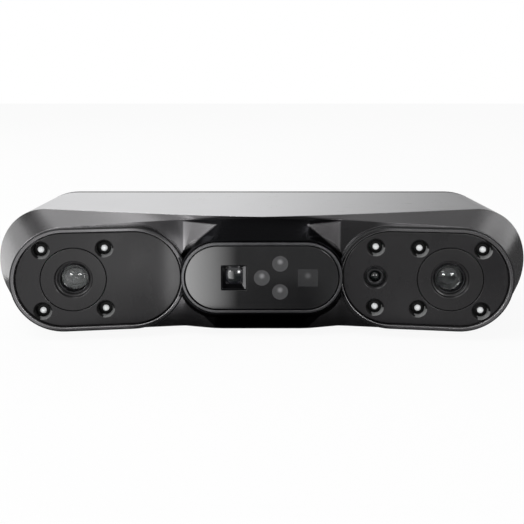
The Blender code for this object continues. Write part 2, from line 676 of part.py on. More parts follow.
def build_pod_pieces(side, word):
    """Plate, lens bezel, camera, lamp board and lamps of one pod."""
    frame = pod_frame(side)
    camera_x = side * CAMERA_OFFSET
    here = frame @ Matrix.Translation((camera_x, 0, 0))
    plate_half = POD_HALF_LENGTH - POD_RIM - SEAT_GAP
    plate_radius = POD_RADIUS - POD_RIM - SEAT_GAP
    plate = add_object(
        f"{word}_camera_plate",
        bar(plate_half, plate_radius, PLATE_RECESS, PLATE_BACK, PLATE_EDGE),
        "plate_plastic",
        frame,
    )
    cut(plate, cylinder(BEZEL_RADIUS + SEAT_GAP, 0, PLATE_BACK + CUT_OVERRUN), place=here)
    for x, z in lamp_places(side):
        place = frame @ Matrix.Translation((x, 0, z))
        taper_back = PLATE_RECESS + LAMP_HOLE_TAPER
        flare = (LAMP_HOLE_MOUTH_RADIUS - LAMP_HOLE_RADIUS) / LAMP_HOLE_TAPER
        grown = LAMP_HOLE_MOUTH_RADIUS + flare * PLATE_RECESS
        bore_front = taper_back - LAMP_HOLE_TAPER / 2
        cut(
            plate,
            cone(grown, LAMP_HOLE_RADIUS, 0, taper_back, SMALL_ROUND_STEPS),
            cylinder(LAMP_HOLE_RADIUS, bore_front, PLATE_BACK + CUT_OVERRUN, SMALL_ROUND_STEPS),
            place=place,
        )
    smooth(plate)

    disc = cylinder(BEZEL_RADIUS, PLATE_RECESS, PLATE_BACK)
    bezel = add_object(f"{word}_lens_bezel", disc, "plate_plastic", here)
    slope = (BEZEL_MOUTH_RADIUS - BEZEL_THROAT_RADIUS) / PLATE_THICKNESS
    cut(
        bezel,
        cone(
            BEZEL_MOUTH_RADIUS + slope * CUT_OVERRUN,
            BEZEL_THROAT_RADIUS - slope * CUT_OVERRUN,
            PLATE_RECESS - CUT_OVERRUN,
            PLATE_BACK + CUT_OVERRUN,
        ),
        place=here,
    )
    smooth(bezel)

    rim_front = PLATE_RECESS + LENS_RIM_RECESS
    barrel = add_object(
        f"{word}_lens_barrel",
        turned(
            [
                (0, rim_front),
                (LENS_RIM_RADIUS, rim_front),
                (LENS_RIM_RADIUS, LENS_HEAD_FRONT),
                (LENS_HEAD_RADIUS, LENS_HEAD_FRONT),
                (LENS_HEAD_RADIUS, LENS_HEAD_BACK),
                (LENS_THREAD_RADIUS, LENS_HEAD_BACK),
                (LENS_THREAD_RADIUS, LENS_HEAD_BACK + LENS_THREAD_LENGTH),
                (0, LENS_HEAD_BACK + LENS_THREAD_LENGTH),
            ]
        ),
        "black_metal",
        here,
    )
    glass_foot = rim_front + LENS_GLASS_DROP + LENS_GLASS_CROWN
    pocket = glass_foot + LENS_GLASS_THICKNESS + SEAT_GAP
    cut(barrel, cylinder(LENS_GLASS_RADIUS + SEAT_GAP, 0, pocket), place=here)
    smooth(barrel)

    glass_back = glass_foot + LENS_GLASS_THICKNESS
    profile = dome(LENS_GLASS_RADIUS, glass_foot, LENS_GLASS_CROWN)
    profile += [(LENS_GLASS_RADIUS, glass_back), (0, glass_back)]
    smooth(add_object(f"{word}_lens_glass", turned(profile, ROUND_STEPS), "lens_glass", here))

    holder = add_object(
        f"{word}_lens_holder",
        block(HOLDER_SIDE / 2, HOLDER_SIDE / 2, HOLDER_FRONT, HOLDER_BACK),
        "black_metal",
        here,
    )
    cut(
        holder,
        cylinder(LENS_THREAD_RADIUS + SEAT_GAP, 0, HOLDER_BACK + CUT_OVERRUN),
        place=here,
    )
    smooth(holder)
    half_board = SENSOR_BOARD_SIDE / 2
    add_object(
        f"{word}_sensor_board",
        block(half_board, half_board, SENSOR_FRONT, SENSOR_BACK),
        "circuit_board",
        here,
    )

    board_half = plate_half - LEDGE_WIDTH
    board_radius = plate_radius - LEDGE_WIDTH
    board = add_object(
        f"{word}_lamp_board",
        bar(board_half, board_radius, LAMP_BOARD_FRONT, LAMP_BOARD_BACK, steps=QUARTER_STEPS // 2),
        "circuit_board",
        frame,
    )
    cut(board, cylinder(LENS_HEAD_RADIUS + SEAT_GAP, 0, LAMP_BOARD_BACK + CUT_OVERRUN), place=here)
    if side > 0:
        place = frame @ Matrix.Translation((COLOUR_CAMERA_OFFSET, 0, 0))
        taper_back = PLATE_RECESS + LAMP_HOLE_TAPER
        flare = (COLOUR_HOLE_MOUTH_RADIUS - COLOUR_HOLE_RADIUS) / LAMP_HOLE_TAPER
        grown = COLOUR_HOLE_MOUTH_RADIUS + flare * PLATE_RECESS
        cut(
            plate,
            cone(grown, COLOUR_HOLE_RADIUS, 0, taper_back),
            cylinder(COLOUR_HOLE_RADIUS, taper_back - LAMP_HOLE_TAPER / 2, PLATE_BACK + CUT_OVERRUN),
            place=place,
        )
        smooth(plate)
        cut(board, cylinder(COLOUR_BARREL_RADIUS + SEAT_GAP, 0, LAMP_BOARD_BACK + CUT_OVERRUN), place=place)
    lamp_front = PLATE_RECESS + LAMP_RECESS
    lamp_back = LAMP_BOARD_FRONT - SEAT_GAP
    foot_front = lamp_back - LAMP_FOOT_HEIGHT
    for number, (x, z) in enumerate(lamp_places(side), start=1):
        profile = dome(LAMP_RADIUS, lamp_front + LAMP_RADIUS, LAMP_RADIUS)
        profile += [
            (LAMP_RADIUS, foot_front),
            (LAMP_FOOT_RADIUS, foot_front),
            (LAMP_FOOT_RADIUS, lamp_back),
            (0, lamp_back),
        ]
        lamp = turned(profile, SMALL_ROUND_STEPS)
        smooth(add_object(f"{word}_lamp_{number}", lamp, "lamp_resin", frame @ Matrix.Translation((x, 0, z))))


def build_colour_camera():
    """The small colour camera beside the right stereo camera."""
    place = pod_frame(1) @ Matrix.Translation((COLOUR_CAMERA_OFFSET, 0, 0))
    front = PLATE_RECESS + COLOUR_BARREL_RECESS
    barrel = add_object(
        "colour_camera_barrel",
        cylinder(COLOUR_BARREL_RADIUS, front, front + COLOUR_BARREL_LENGTH, SMALL_ROUND_STEPS * 2),
        "black_metal",
        place,
    )
    foot = front + SEAT_GAP + COLOUR_GLASS_CROWN
    back = foot + COLOUR_GLASS_THICKNESS
    cut(barrel, cylinder(COLOUR_GLASS_RADIUS + SEAT_GAP, 0, back + SEAT_GAP, SMALL_ROUND_STEPS), place=place)
    smooth(barrel)
    profile = dome(COLOUR_GLASS_RADIUS, foot, COLOUR_GLASS_CROWN)
    profile += [(COLOUR_GLASS_RADIUS, back), (0, back)]
    smooth(add_object("colour_camera_glass", turned(profile, SMALL_ROUND_STEPS), "lens_glass", place))


def build_window():
    """The ring and dark glass in the middle, with a square cut for the pattern projector."""
    ring_front = FRONT_Y + RING_SETBACK
    ring_back = ring_front + RING_DEPTH
    ring = add_object(
        "window_ring",
        bar(RING_HALF_LENGTH, RING_RADIUS, ring_front, ring_back, POD_EDGE),
        "casing_metal",
        at(0, 0),
    )
    inner_half = RING_HALF_LENGTH - RING_WIDTH
    inner_radius = RING_RADIUS - RING_WIDTH
    cut(ring, bar(inner_half, inner_radius, ring_front - CUT_OVERRUN, BENCH_FRONT_Y), place=at(0, 0))
    smooth(ring)
    glass = add_object(
        "projector_window",
        bar(inner_half - SEAT_GAP, inner_radius - SEAT_GAP, ring_front + WINDOW_RECESS, ring_back),
        "window_glass",
        at(0, 0),
    )
    side = APERTURE_SIDE / 2
    opening = block(side, side, ring_front - CUT_OVERRUN, ring_back + CUT_OVERRUN)
    cut(glass, opening, place=at(APERTURE_X, 0))
    return smooth(glass)


def build_emitters():
    """The block behind the window, with the pattern projector, three line lasers and the flood light."""
    block_front = FRONT_Y + EMITTER_BLOCK_SETBACK
    block_back = BENCH_FRONT_Y - SEAT_GAP
    inset = RING_WIDTH + WINDOW_LEDGE + SEAT_GAP
    carrier = add_object(
        "emitter_block",
        bar(RING_HALF_LENGTH - inset, RING_RADIUS - inset, block_front, block_back),
        "bare_aluminium",
        at(0, 0),
    )
    laser_front = FRONT_Y + LASER_SETBACK
    laser_back = laser_front + LASER_LENGTH
    for number, (x, z) in enumerate(LASER_PLACES, start=1):
        bore = cylinder(LASER_RADIUS + SEAT_GAP, FRONT_Y, laser_back + SEAT_GAP, SMALL_ROUND_STEPS)
        cut(carrier, bore, place=at(x, z))
        laser = add_object(
            f"laser_module_{number}",
            cylinder(LASER_RADIUS, laser_front, laser_back, SMALL_ROUND_STEPS),
            "black_metal",
            at(x, z),
        )
        mouth = cone(
            LASER_MOUTH_RADIUS + CUT_OVERRUN,
            LASER_MOUTH_RADIUS / 2,
            laser_front - CUT_OVERRUN,
            laser_front + LASER_MOUTH_DEPTH,
            SMALL_ROUND_STEPS,
        )
        cut(laser, mouth, place=at(x, z))
        smooth(laser)
    projector_front = FRONT_Y + PROJECTOR_SETBACK
    projector_back = projector_front + PROJECTOR_LENGTH
    half = PROJECTOR_SIDE / 2
    well = block(half + SEAT_GAP, half + SEAT_GAP, FRONT_Y, projector_back + SEAT_GAP)
    cut(carrier, well, place=at(APERTURE_X, 0))
    projector = add_object(
        "pattern_projector",
        block(half, half, projector_front, projector_back),
        "black_metal",
        at(APERTURE_X, 0),
    )
    pocket_floor = projector_front + PROJECTOR_POCKET_DEPTH
    pocket = cylinder(PROJECTOR_LENS_RADIUS + SEAT_GAP, projector_front - CUT_OVERRUN, pocket_floor)
    cut(projector, pocket, place=at(APERTURE_X, 0))
    smooth(projector)
    lens_back = pocket_floor - SEAT_GAP
    lens_foot = lens_back - PROJECTOR_LENS_THICKNESS
    profile = dome(PROJECTOR_LENS_RADIUS, lens_foot, PROJECTOR_LENS_CROWN)
    profile += [(PROJECTOR_LENS_RADIUS, lens_back), (0, lens_back)]
    lens = turned(profile, 2 * SMALL_ROUND_STEPS)
    smooth(add_object("projector_lens", lens, "lens_glass", at(APERTURE_X, 0)))
    flood_front = FRONT_Y + FLOOD_SETBACK
    flood_back = flood_front + FLOOD_LENGTH
    pocket = block(
        FLOOD_WIDTH / 2 + SEAT_GAP, FLOOD_HEIGHT / 2 + SEAT_GAP, FRONT_Y, flood_back + SEAT_GAP
    )
    cut(carrier, pocket, place=at(FLOOD_X, 0))
    add_object(
        "infrared_flood_light",
        block(FLOOD_WIDTH / 2, FLOOD_HEIGHT / 2, flood_front, flood_back),
        "circuit_board",
        at(FLOOD_X, 0),
    )
    return smooth(carrier)


def camera_place(side):
    """Frame of a pod's camera axis."""
    return pod_frame(side) @ Matrix.Translation((side * CAMERA_OFFSET, 0, 0))


def build_bench():
    """The stiff plate that fixes the cameras to each other, with a wedge-shaped pad square to each camera."""
    bench_half = CAVITY_HALF_LENGTH + CAVITY_LEDGE - SEAT_GAP
    bench_radius = CAVITY_RADIUS + CAVITY_LEDGE - SEAT_GAP
    bench_back = BENCH_FRONT_Y + BENCH_THICKNESS
    bench = add_object(
        "optical_bench",
        bar(bench_half, bench_radius, BENCH_FRONT_Y, bench_back),
        "bare_aluminium",
        at(0, 0),
    )
    pad_half = PAD_SIDE / 2
    for side in (-1, 1):
        place = camera_place(side)
        reach = bench_back - place.translation.y - BENCH_THICKNESS / 2
        join(bench, block(pad_half, pad_half, PAD_FRONT, reach), place=place)
        opening = PAD_OPENING_SIDE / 2
        opening_back = reach + BENCH_THICKNESS + CUT_OVERRUN
        cut(bench, block(opening, opening, PAD_FRONT - CUT_OVERRUN, opening_back), place=place)
    return smooth(bench)


def build_electronics():
    """Main board with its switches, the heat sink on it, and the ribbons from the camera boards."""
    half_length = COVER_SCREW_X - SCREW_BOSS_RADIUS - MAIN_BOARD_END_GAP
    board = add_object(
        "main_board",
        block(half_length, INNER_RADIUS - SEAT_GAP, BOARD_FRONT_Y, BOARD_BACK_Y),
        "circuit_board",
        at(0, 0),
    )
    pressed = COVER_FRONT_Y - SEAT_GAP - BUTTON_FLANGE_THICKNESS - BUTTON_TRAVEL
    switch_top = pressed - SEAT_GAP
    switch_root = BOARD_BACK_Y - MAIN_BOARD_THICKNESS / 2
    for x in (-SIDE_BUTTON_OFFSET, 0.0, SIDE_BUTTON_OFFSET):
        switch = cylinder(SWITCH_RADIUS, switch_root, switch_top, SMALL_ROUND_STEPS)
        join(board, switch, place=at(x, 0))
    base_front = BOARD_FRONT_Y - SEAT_GAP - SINK_BASE
    base_back = BOARD_FRONT_Y - SEAT_GAP
    sink = add_object(
        "heat_sink",
        block(SINK_HALF_LENGTH, SINK_HALF_HEIGHT, base_front, base_back),
        "bare_aluminium",
        at(0, SINK_LIFT),
    )
    gap = (2 * SINK_HALF_LENGTH - SINK_FIN_THICKNESS) / (SINK_FINS - 1)
    fin_front = base_front - SINK_FIN_LENGTH
    for i in range(SINK_FINS):
        x = -SINK_HALF_LENGTH + SINK_FIN_THICKNESS / 2 + i * gap
        fin = block(SINK_FIN_THICKNESS / 2, SINK_HALF_HEIGHT, fin_front, base_front + SINK_BASE / 2)
        join(sink, fin, place=at(x, SINK_LIFT))
    for side, word in ((-1, "left"), (1, "right")):
        build_ribbon(side, word)


def build_ribbon(side, word):
    """A flat ribbon from a camera's sensor board, through the bench, to the main board."""
    place = camera_place(side)
    start = place @ Vector((0, SENSOR_BACK + SEAT_GAP, 0))
    front = start.y + RIBBON_WIDTH * math.sin(TOE_IN)
    back = BOARD_FRONT_Y - SEAT_GAP
    steps = 2 * QUARTER_STEPS
    rings = []
    for i in range(steps + 1):
        share = i / steps
        sag = -RIBBON_SAG * math.sin(math.pi * share) ** 2
        y = front + (back - front) * share
        rings.append([(x, y, z + sag) for x, z in rectangle(RIBBON_WIDTH / 2, RIBBON_THICKNESS / 2)])
    smooth(add_object(f"{word}_camera_ribbon", loft(rings), "ribbon_film", at(start.x, 0)))


def build_rear_cover():
    """The plastic rear cover with vents, a sunk button pad, and a lip that goes into the sleeve."""
    cover = add_object(
        "rear_cover",
        bar(BODY_HALF_LENGTH, BODY_RADIUS, COVER_FRONT_Y, BACK_Y, back_edge=COVER_EDGE),
        "cover_plastic",
        at(0, 0),
    )
    lip_front = COVER_LIP_FRONT_Y
    lip_reach = COVER_FRONT_Y + COVER_THICKNESS / 2
    join(cover, bar(LIP_HALF_LENGTH, LIP_RADIUS, lip_front, lip_reach), place=at(0, 0))
    cut(
        cover,
        bar(
            LIP_HALF_LENGTH - COVER_LIP_WALL,
            LIP_RADIUS - COVER_LIP_WALL,
            lip_front - CUT_OVERRUN,
            COVER_FRONT_Y,
        ),
        bar(PAD_HALF_LENGTH, PAD_RADIUS, BACK_Y - PAD_DEPTH, BACK_Y + CUT_OVERRUN),
        place=at(0, 0),
    )
    head_floor = BACK_Y - SCREW_HEAD_HEIGHT - 2 * SEAT_GAP
    before = COVER_FRONT_Y - CUT_OVERRUN
    behind = BACK_Y + CUT_OVERRUN
    for x in (-COVER_SCREW_X, COVER_SCREW_X):
        for up in (-1, 1):
            place = at(x, up * COVER_SCREW_Z)
            join(cover, cylinder(SCREW_BOSS_RADIUS, lip_front, lip_reach, SMALL_ROUND_STEPS), place=place)
            cut(
                cover,
                cylinder(SCREW_HEAD_RADIUS + SEAT_GAP, head_floor, behind, SMALL_ROUND_STEPS),
                cylinder(SCREW_SHANK_RADIUS + SEAT_GAP, lip_front - CUT_OVERRUN, behind, SMALL_ROUND_STEPS),
                place=place,
            )
    for x, radius in button_places().values():
        cut(cover, cylinder(radius + SEAT_GAP, before, behind), place=at(x, 0))
    hole_half = SOCKET_HALF_WIDTH + SEAT_GAP
    hole = bar(hole_half, SOCKET_RADIUS + SEAT_GAP, before, behind, steps=QUARTER_STEPS // 2)
    cut(cover, hole, place=at(SOCKET_X, 0))
    pipe = cylinder(STATUS_RADIUS + SEAT_GAP, before, behind, SMALL_ROUND_STEPS)
    cut(cover, pipe, place=at(0, STATUS_HEIGHT))
    for side in (-1, 1):
        for row in range(VENT_ROWS):
            z = (row - (VENT_ROWS - 1) / 2) * VENT_PITCH
            slot = bar(VENT_HALF_LENGTH, VENT_RADIUS, before, behind, steps=VENT_STEPS)
            cut(cover, slot, place=at(side * VENT_MIDDLE, z))
    return smooth(cover)


def button_places():
    """Name, distance from the middle, and radius of each push button."""
    return {
        "scan_button": (0.0, SCAN_BUTTON_RADIUS),
        "minus_button": (SIDE_BUTTON_OFFSET, SIDE_BUTTON_RADIUS),
        "plus_button": (-SIDE_BUTTON_OFFSET, SIDE_BUTTON_RADIUS),
    }


def build_buttons():
    """Three push buttons, each with a flange that keeps it behind the cover."""
    pad_floor = BACK_Y - PAD_DEPTH
    top = pad_floor + BUTTON_PROUD
    flange_back = COVER_FRONT_Y - SEAT_GAP
    flange_front = flange_back - BUTTON_FLANGE_THICKNESS
    for name, (x, radius) in button_places().items():
        profile = [
            (0, flange_front),
            (radius + BUTTON_FLANGE, flange_front),
            (radius + BUTTON_FLANGE, flange_back),
            (radius, flange_back),
            (radius, top - BUTTON_EDGE),
            (radius - BUTTON_EDGE, top),
            (0, top),
        ]
        smooth(add_object(name, turned(profile), "button_rubber", at(x, 0)))


def build_status_light():
    """A light pipe from the main board to the rear face."""
    pipe = cylinder(STATUS_RADIUS, BOARD_BACK_Y + SEAT_GAP, BACK_Y - SEAT_GAP, SMALL_ROUND_STEPS)
    smooth(add_object("status_light_pipe", pipe, "light_pipe", at(0, STATUS_HEIGHT)))


def build_socket():
    """The power and data socket, a shell with a tongue that stands on its floor."""
    back = BACK_Y - SOCKET_DROP
    front = BOARD_BACK_Y + SEAT_GAP
    steps = QUARTER_STEPS // 2
    place = at(SOCKET_X, 0)
    shell = add_object(
        "power_data_socket",
        bar(SOCKET_HALF_WIDTH, SOCKET_RADIUS, front, back, steps=steps),
        "steel",
        place,
    )
    floor = front + SOCKET_FLOOR
    inner_half = SOCKET_HALF_WIDTH - SOCKET_WALL
    inner_radius = SOCKET_RADIUS - SOCKET_WALL
    cut(shell, bar(inner_half, inner_radius, floor, back + CUT_OVERRUN, steps=steps), place=place)
    root = floor - SOCKET_FLOOR / 2
    tip = back - SOCKET_TONGUE_DROP
    tongue = block(SOCKET_TONGUE_HALF_WIDTH, SOCKET_TONGUE_THICKNESS / 2, root, tip)
    join(shell, tongue, place=place)
    return smooth(shell)


def build_cover_screws():
    """Four screws that hold the rear cover to the sleeve."""
    head_back = BACK_Y - SEAT_GAP
    head_front = head_back - SCREW_HEAD_HEIGHT
    number = 0
    for x in (-COVER_SCREW_X, COVER_SCREW_X):
        for up in (-1, 1):
            number += 1
            profile = [
                (0, head_front - SCREW_LENGTH),
                (SCREW_SHANK_RADIUS, head_front - SCREW_LENGTH),
                (SCREW_SHANK_RADIUS, head_front),
                (SCREW_HEAD_RADIUS, head_front),
                (SCREW_HEAD_RADIUS, head_back),
                (0, head_back),
            ]
            place = at(x, up * COVER_SCREW_Z)
            screw = add_object(f"cover_screw_{number}", turned(profile, SMALL_ROUND_STEPS), "steel", place)
            recess_floor = head_back - SCREW_SOCKET_DEPTH
            recess_steps = SMALL_ROUND_STEPS // 2
            recess = cylinder(SCREW_SOCKET_RADIUS, recess_floor, head_back + CUT_OVERRUN, recess_steps)
            cut(screw, recess, place=place)
            smooth(screw)


def main():
    """Builds every piece of the scanner."""
    clear_scene()
    build_front_casing()
    build_sleeve()
    build_tripod_socket()
    build_pod_pieces(-1, "left")
    build_pod_pieces(1, "right")
    build_colour_camera()
    build_window()
    build_emitters()
    build_bench()
    build_electronics()
    build_rear_cover()
    build_buttons()
    build_status_light()
    build_socket()
    build_cover_screws()
    bpy.context.view_layer.update()


main()
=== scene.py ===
"""Fine meshes and finishes of a hand-held three-d scanner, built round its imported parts.

Every mesh is in metres in the row frame: +X along the length, +Y from the lenses to the buttons, +Z up,
with the origin under the middle of the body. Depths are measured back from the foremost point of the body,
or from a pod's rim along the pod's own axis.
"""

import json
import logging
import math
from collections.abc import Callable, Sequence
from dataclasses import dataclass
from enum import Enum
from typing import Union

import bmesh
import bpy
from mathutils import Matrix, Vector

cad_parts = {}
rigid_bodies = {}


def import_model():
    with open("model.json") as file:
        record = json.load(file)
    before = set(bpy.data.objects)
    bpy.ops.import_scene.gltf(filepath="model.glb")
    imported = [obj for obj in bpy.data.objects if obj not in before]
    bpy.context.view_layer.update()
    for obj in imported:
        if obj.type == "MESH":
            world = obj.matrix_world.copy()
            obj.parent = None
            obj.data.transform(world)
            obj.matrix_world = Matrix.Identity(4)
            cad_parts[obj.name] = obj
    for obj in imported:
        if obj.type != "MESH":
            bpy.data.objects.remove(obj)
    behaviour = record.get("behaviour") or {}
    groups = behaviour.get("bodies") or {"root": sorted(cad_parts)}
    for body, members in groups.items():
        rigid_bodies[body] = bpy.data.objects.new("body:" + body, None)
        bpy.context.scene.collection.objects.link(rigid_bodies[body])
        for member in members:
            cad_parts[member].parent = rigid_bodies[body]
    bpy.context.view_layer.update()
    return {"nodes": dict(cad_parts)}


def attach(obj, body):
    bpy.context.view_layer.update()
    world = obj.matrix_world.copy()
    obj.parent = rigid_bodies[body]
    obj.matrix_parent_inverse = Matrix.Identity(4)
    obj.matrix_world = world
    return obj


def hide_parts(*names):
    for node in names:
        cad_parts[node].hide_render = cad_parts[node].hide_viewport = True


Pair = tuple[float, float]
Outline = list[Pair]
Profile = list[Pair]
Point = tuple[float, float, float]
Colour = tuple[float, float, float]
Value = Union[float, "Signal"]
Tint = Union[Colour, "Signal"]
Growing = Callable[[float], Outline]
Mesh = bpy.types.Mesh
Face = bpy.types.MeshPolygon

QUARTER_STEPS = 18
ROUND_STEPS = 72
SMALL_ROUND_STEPS = 40
FLAT_SPANS = 40
LIP_STEPS = 5
CORNER_STEPS = 5
SHARP_ANGLE = math.radians(35)

log = logging.getLogger("scanner")


class Side(Enum):
    """The two camera pods."""

    LEFT = -1
    RIGHT = 1

    @property
    def word(self) -> str:
        """The side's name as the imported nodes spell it."""
        return self.name.lower()


class Body(Enum):
    """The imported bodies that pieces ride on."""

    SCANNER = "scanner_body"
    SCAN = "scan_button"
    PLUS = "plus_button"
    MINUS = "minus_button"


class Slot(Enum):
    """The record's material slots."""

    SLEEVE = "sleeve_metal"
    CASING = "casing_metal"
    COVER = "cover_plastic"
    PLATE = "plate_plastic"
    LENS = "lens_glass"
    WINDOW = "window_glass"
    BLACK = "black_metal"
    LAMP = "lamp_resin"
    BOARD = "circuit_board"
    ALUMINIUM = "bare_aluminium"
    STEEL = "steel"
    RUBBER = "button_rubber"
    RIBBON = "ribbon_film"
    PIPE = "light_pipe"


class Signal:
    """A shader socket that can be written in sums and products of values."""

    def __init__(self, graph: "Graph", socket: bpy.types.NodeSocket) -> None:
        """Keeps the graph and the socket."""
        self.graph = graph
        self.socket = socket

    def _math(self, operation: str, first: Value, second: Value = 0.5) -> "Signal":
        """The result of a Math node with an operation and its values."""
        return self.graph.node("ShaderNodeMath", {"operation": operation}, {0: first, 1: second})

    def __add__(self, other: Value) -> "Signal":
        """This value plus another."""
        return self._math("ADD", self, other)

    __radd__ = __add__

    def __sub__(self, other: Value) -> "Signal":
        """This value less another."""
        return self._math("SUBTRACT", self, other)

    def __rsub__(self, other: float) -> "Signal":
        """A number less this value."""
        return self._math("SUBTRACT", other, self)

    def __mul__(self, other: Value) -> "Signal":
        """This value times another."""
        return self._math("MULTIPLY", self, other)

    __rmul__ = __mul__

    def __abs__(self) -> "Signal":
        """This value without its sign."""
        return self._math("ABSOLUTE", self)

    def sine(self) -> "Signal":
        """The sine of this value."""
        return self._math("SINE", self)

    def larger(self, other: Value) -> "Signal":
        """The larger of this value and another."""
        return self._math("MAXIMUM", self, other)


class Graph:
    """The nodes of one material or world."""

    def __init__(self, tree: bpy.types.NodeTree) -> None:
        """Keeps the node tree."""
        self.tree = tree

    def node(
        self, kind: str, settings: dict | None = None, sockets: dict | None = None, output: int = 0
    ) -> Signal:
        """Adds any node.

        Args:
            kind: The node's type.
            settings: Its attributes, set first; stops holds a colour ramp's (place, colour) pairs.
            sockets: Values or signals of its inputs, by name or number.
            output: The number of the output to return.

        Returns:
            The chosen output.
        """
        made = self.tree.nodes.new(kind)
        for name, value in (settings or {}).items():
            if name == "stops":
                self._set_stops(made.color_ramp, value)
            else:
                setattr(made, name, value)
        for name, value in (sockets or {}).items():
            if isinstance(value, Signal):
                self.tree.links.new(value.socket, made.inputs[name])
            else:
                made.inputs[name].default_value = value
        return Signal(self, made.outputs[output])

    @staticmethod
    def _set_stops(ramp: bpy.types.ColorRamp, stops: Sequence[tuple[float, Colour]]) -> None:
        """Gives a new colour ramp its stops.

        Args:
            ramp: The ramp.
            stops: The place and colour of each stop, two or more of them.
        """
        for place, _ in stops[1:-1]:
            ramp.elements.new(place)
        ramp.elements[0].position, ramp.elements[-1].position = stops[0][0], stops[-1][0]
        for element, (_, colour) in zip(ramp.elements, stops):
            element.color = (*colour, 1.0)

    def finish(self, shader: Signal, kind: str = "ShaderNodeOutputMaterial") -> None:
        """Links a shader to a new output node of a kind."""
        output = self.tree.nodes.new(kind)
        self.tree.links.new(shader.socket, output.inputs[0])

    def place(self) -> Signal:
        """The surface point in the piece's own metres."""
        return self.node("ShaderNodeTexCoord", output=3)

    def stretched(self, factors: Point) -> Signal:
        """The surface point with each axis scaled by a factor, which draws a texture out."""
        return self.node("ShaderNodeVectorMath", {"operation": "MULTIPLY"}, {0: self.place(), 1: factors})

    def noise(self, scale: float, detail: float = 2.0, stretch: Point = (1, 1, 1)) -> Signal:
        """Cloudy noise from 0 to 1, with features per metre, octaves of detail and a scale for each axis."""
        sockets = {"Vector": self.stretched(stretch), "Scale": scale, "Detail": detail}
        return self.node("ShaderNodeTexNoise", None, sockets)

    def cells(self, scale: float) -> Signal:
        """Distance to the nearest of scattered points, so many per metre, for moulded grain."""
        return self.node("ShaderNodeTexVoronoi", None, {"Vector": self.place(), "Scale": scale})

    def band(self, value: Signal, start: float, end: float) -> Signal:
        """A smooth step from 0 where a value is at the start to 1 where it is at the end."""
        sockets = {"Value": value, "From Min": start, "From Max": end}
        return self.node("ShaderNodeMapRange", {"interpolation_type": "SMOOTHSTEP"}, sockets)

    def blend(self, first: Tint, second: Tint, share: Value) -> Signal:
        """A mix of two colours: the first where the share is 0, the second where it is 1."""
        ends = [end if isinstance(end, Signal) else (*end, 1.0) for end in (first, second)]
        return self.node("ShaderNodeMix", {"data_type": "RGBA"}, {0: share, 6: ends[0], 7: ends[1]}, 2)

    def soft_normal(self, radius: float) -> Signal:
        """The surface normal with edges rounded to a radius."""
        return self.node("ShaderNodeBevel", {"samples": 6}, {"Radius": radius})

    def edges(self, radius: float) -> Signal:
        """How close the surface is to a sharp edge, from 0 to 1.

        Args:
            radius: How far from the edge it reaches.

        Returns:
            The closeness.
        """
        flat = self.node("ShaderNodeNewGeometry", output=1)
        sockets = {0: self.soft_normal(radius), 1: flat}
        facing = self.node("ShaderNodeVectorMath", {"operation": "DOT_PRODUCT"}, sockets, output=1)
        return self.band(1 - facing, 0.01, 0.16)

    def axis(self, name: str) -> Signal:
        """The X, Y or Z of the surface point."""
        return self.node("ShaderNodeSeparateXYZ", None, {0: self.place()}, output="XYZ".index(name))

    def ring_distance(self, x: float = 0.0, z: float = 0.0) -> Signal:
        """Distance from the line along Y through a place, or from the Y axis."""
        sockets = {0: self.stretched((1, 0, 1)), 1: (x, 0.0, z)}
        return self.node("ShaderNodeVectorMath", {"operation": "DISTANCE"}, sockets, output=1)


@dataclass(frozen=True)
class Finish:
    """The constant values of a finish; its kinds add what varies over the surface."""

    name: str
    colour: Colour
    roughness: float
    metallic: float = 0.0
    specular: float = 0.5
    edge: float = 0.0003

    def constants(self) -> dict[str, float]:
        """The values of the shader's inputs that stay the same all over."""
        return {"Metallic": self.metallic, "Specular IOR Level": self.specular}

    def material(self) -> bpy.types.Material:
        """The finish's material, made once.

        Returns:
            The material.
        """
        found = bpy.data.materials.get(self.name)
        if found:
            return found
        made = bpy.data.materials.new(self.name)
        made.use_nodes = True
        shader = made.node_tree.nodes["Principled BSDF"]
        for name, value in self.constants().items():
            shader.inputs[name].default_value = value
        graph = Graph(made.node_tree)
        for name, signal in self.surface(graph).items():
            graph.tree.links.new(signal.socket, shader.inputs[name])
        return made

    def surface(self, graph: Graph) -> dict[str, Signal]:
        """A signal for each of the shader's inputs that varies over the surface."""
        raise NotImplementedError

    def relief(self, graph: Graph, height: Signal, depth: float) -> Signal:
        """A normal with rounded edges, bumped by a height of about 0 to 1 that is so many metres deep."""
        sockets = {"Height": height, "Distance": depth, "Normal": graph.soft_normal(self.edge)}
        return graph.node("ShaderNodeBump", None, sockets)

    def lighter(self, factor: float) -> Colour:
        """The finish's colour times a factor, at most white."""
        return tuple(min(1.0, channel * factor) for channel in self.colour)


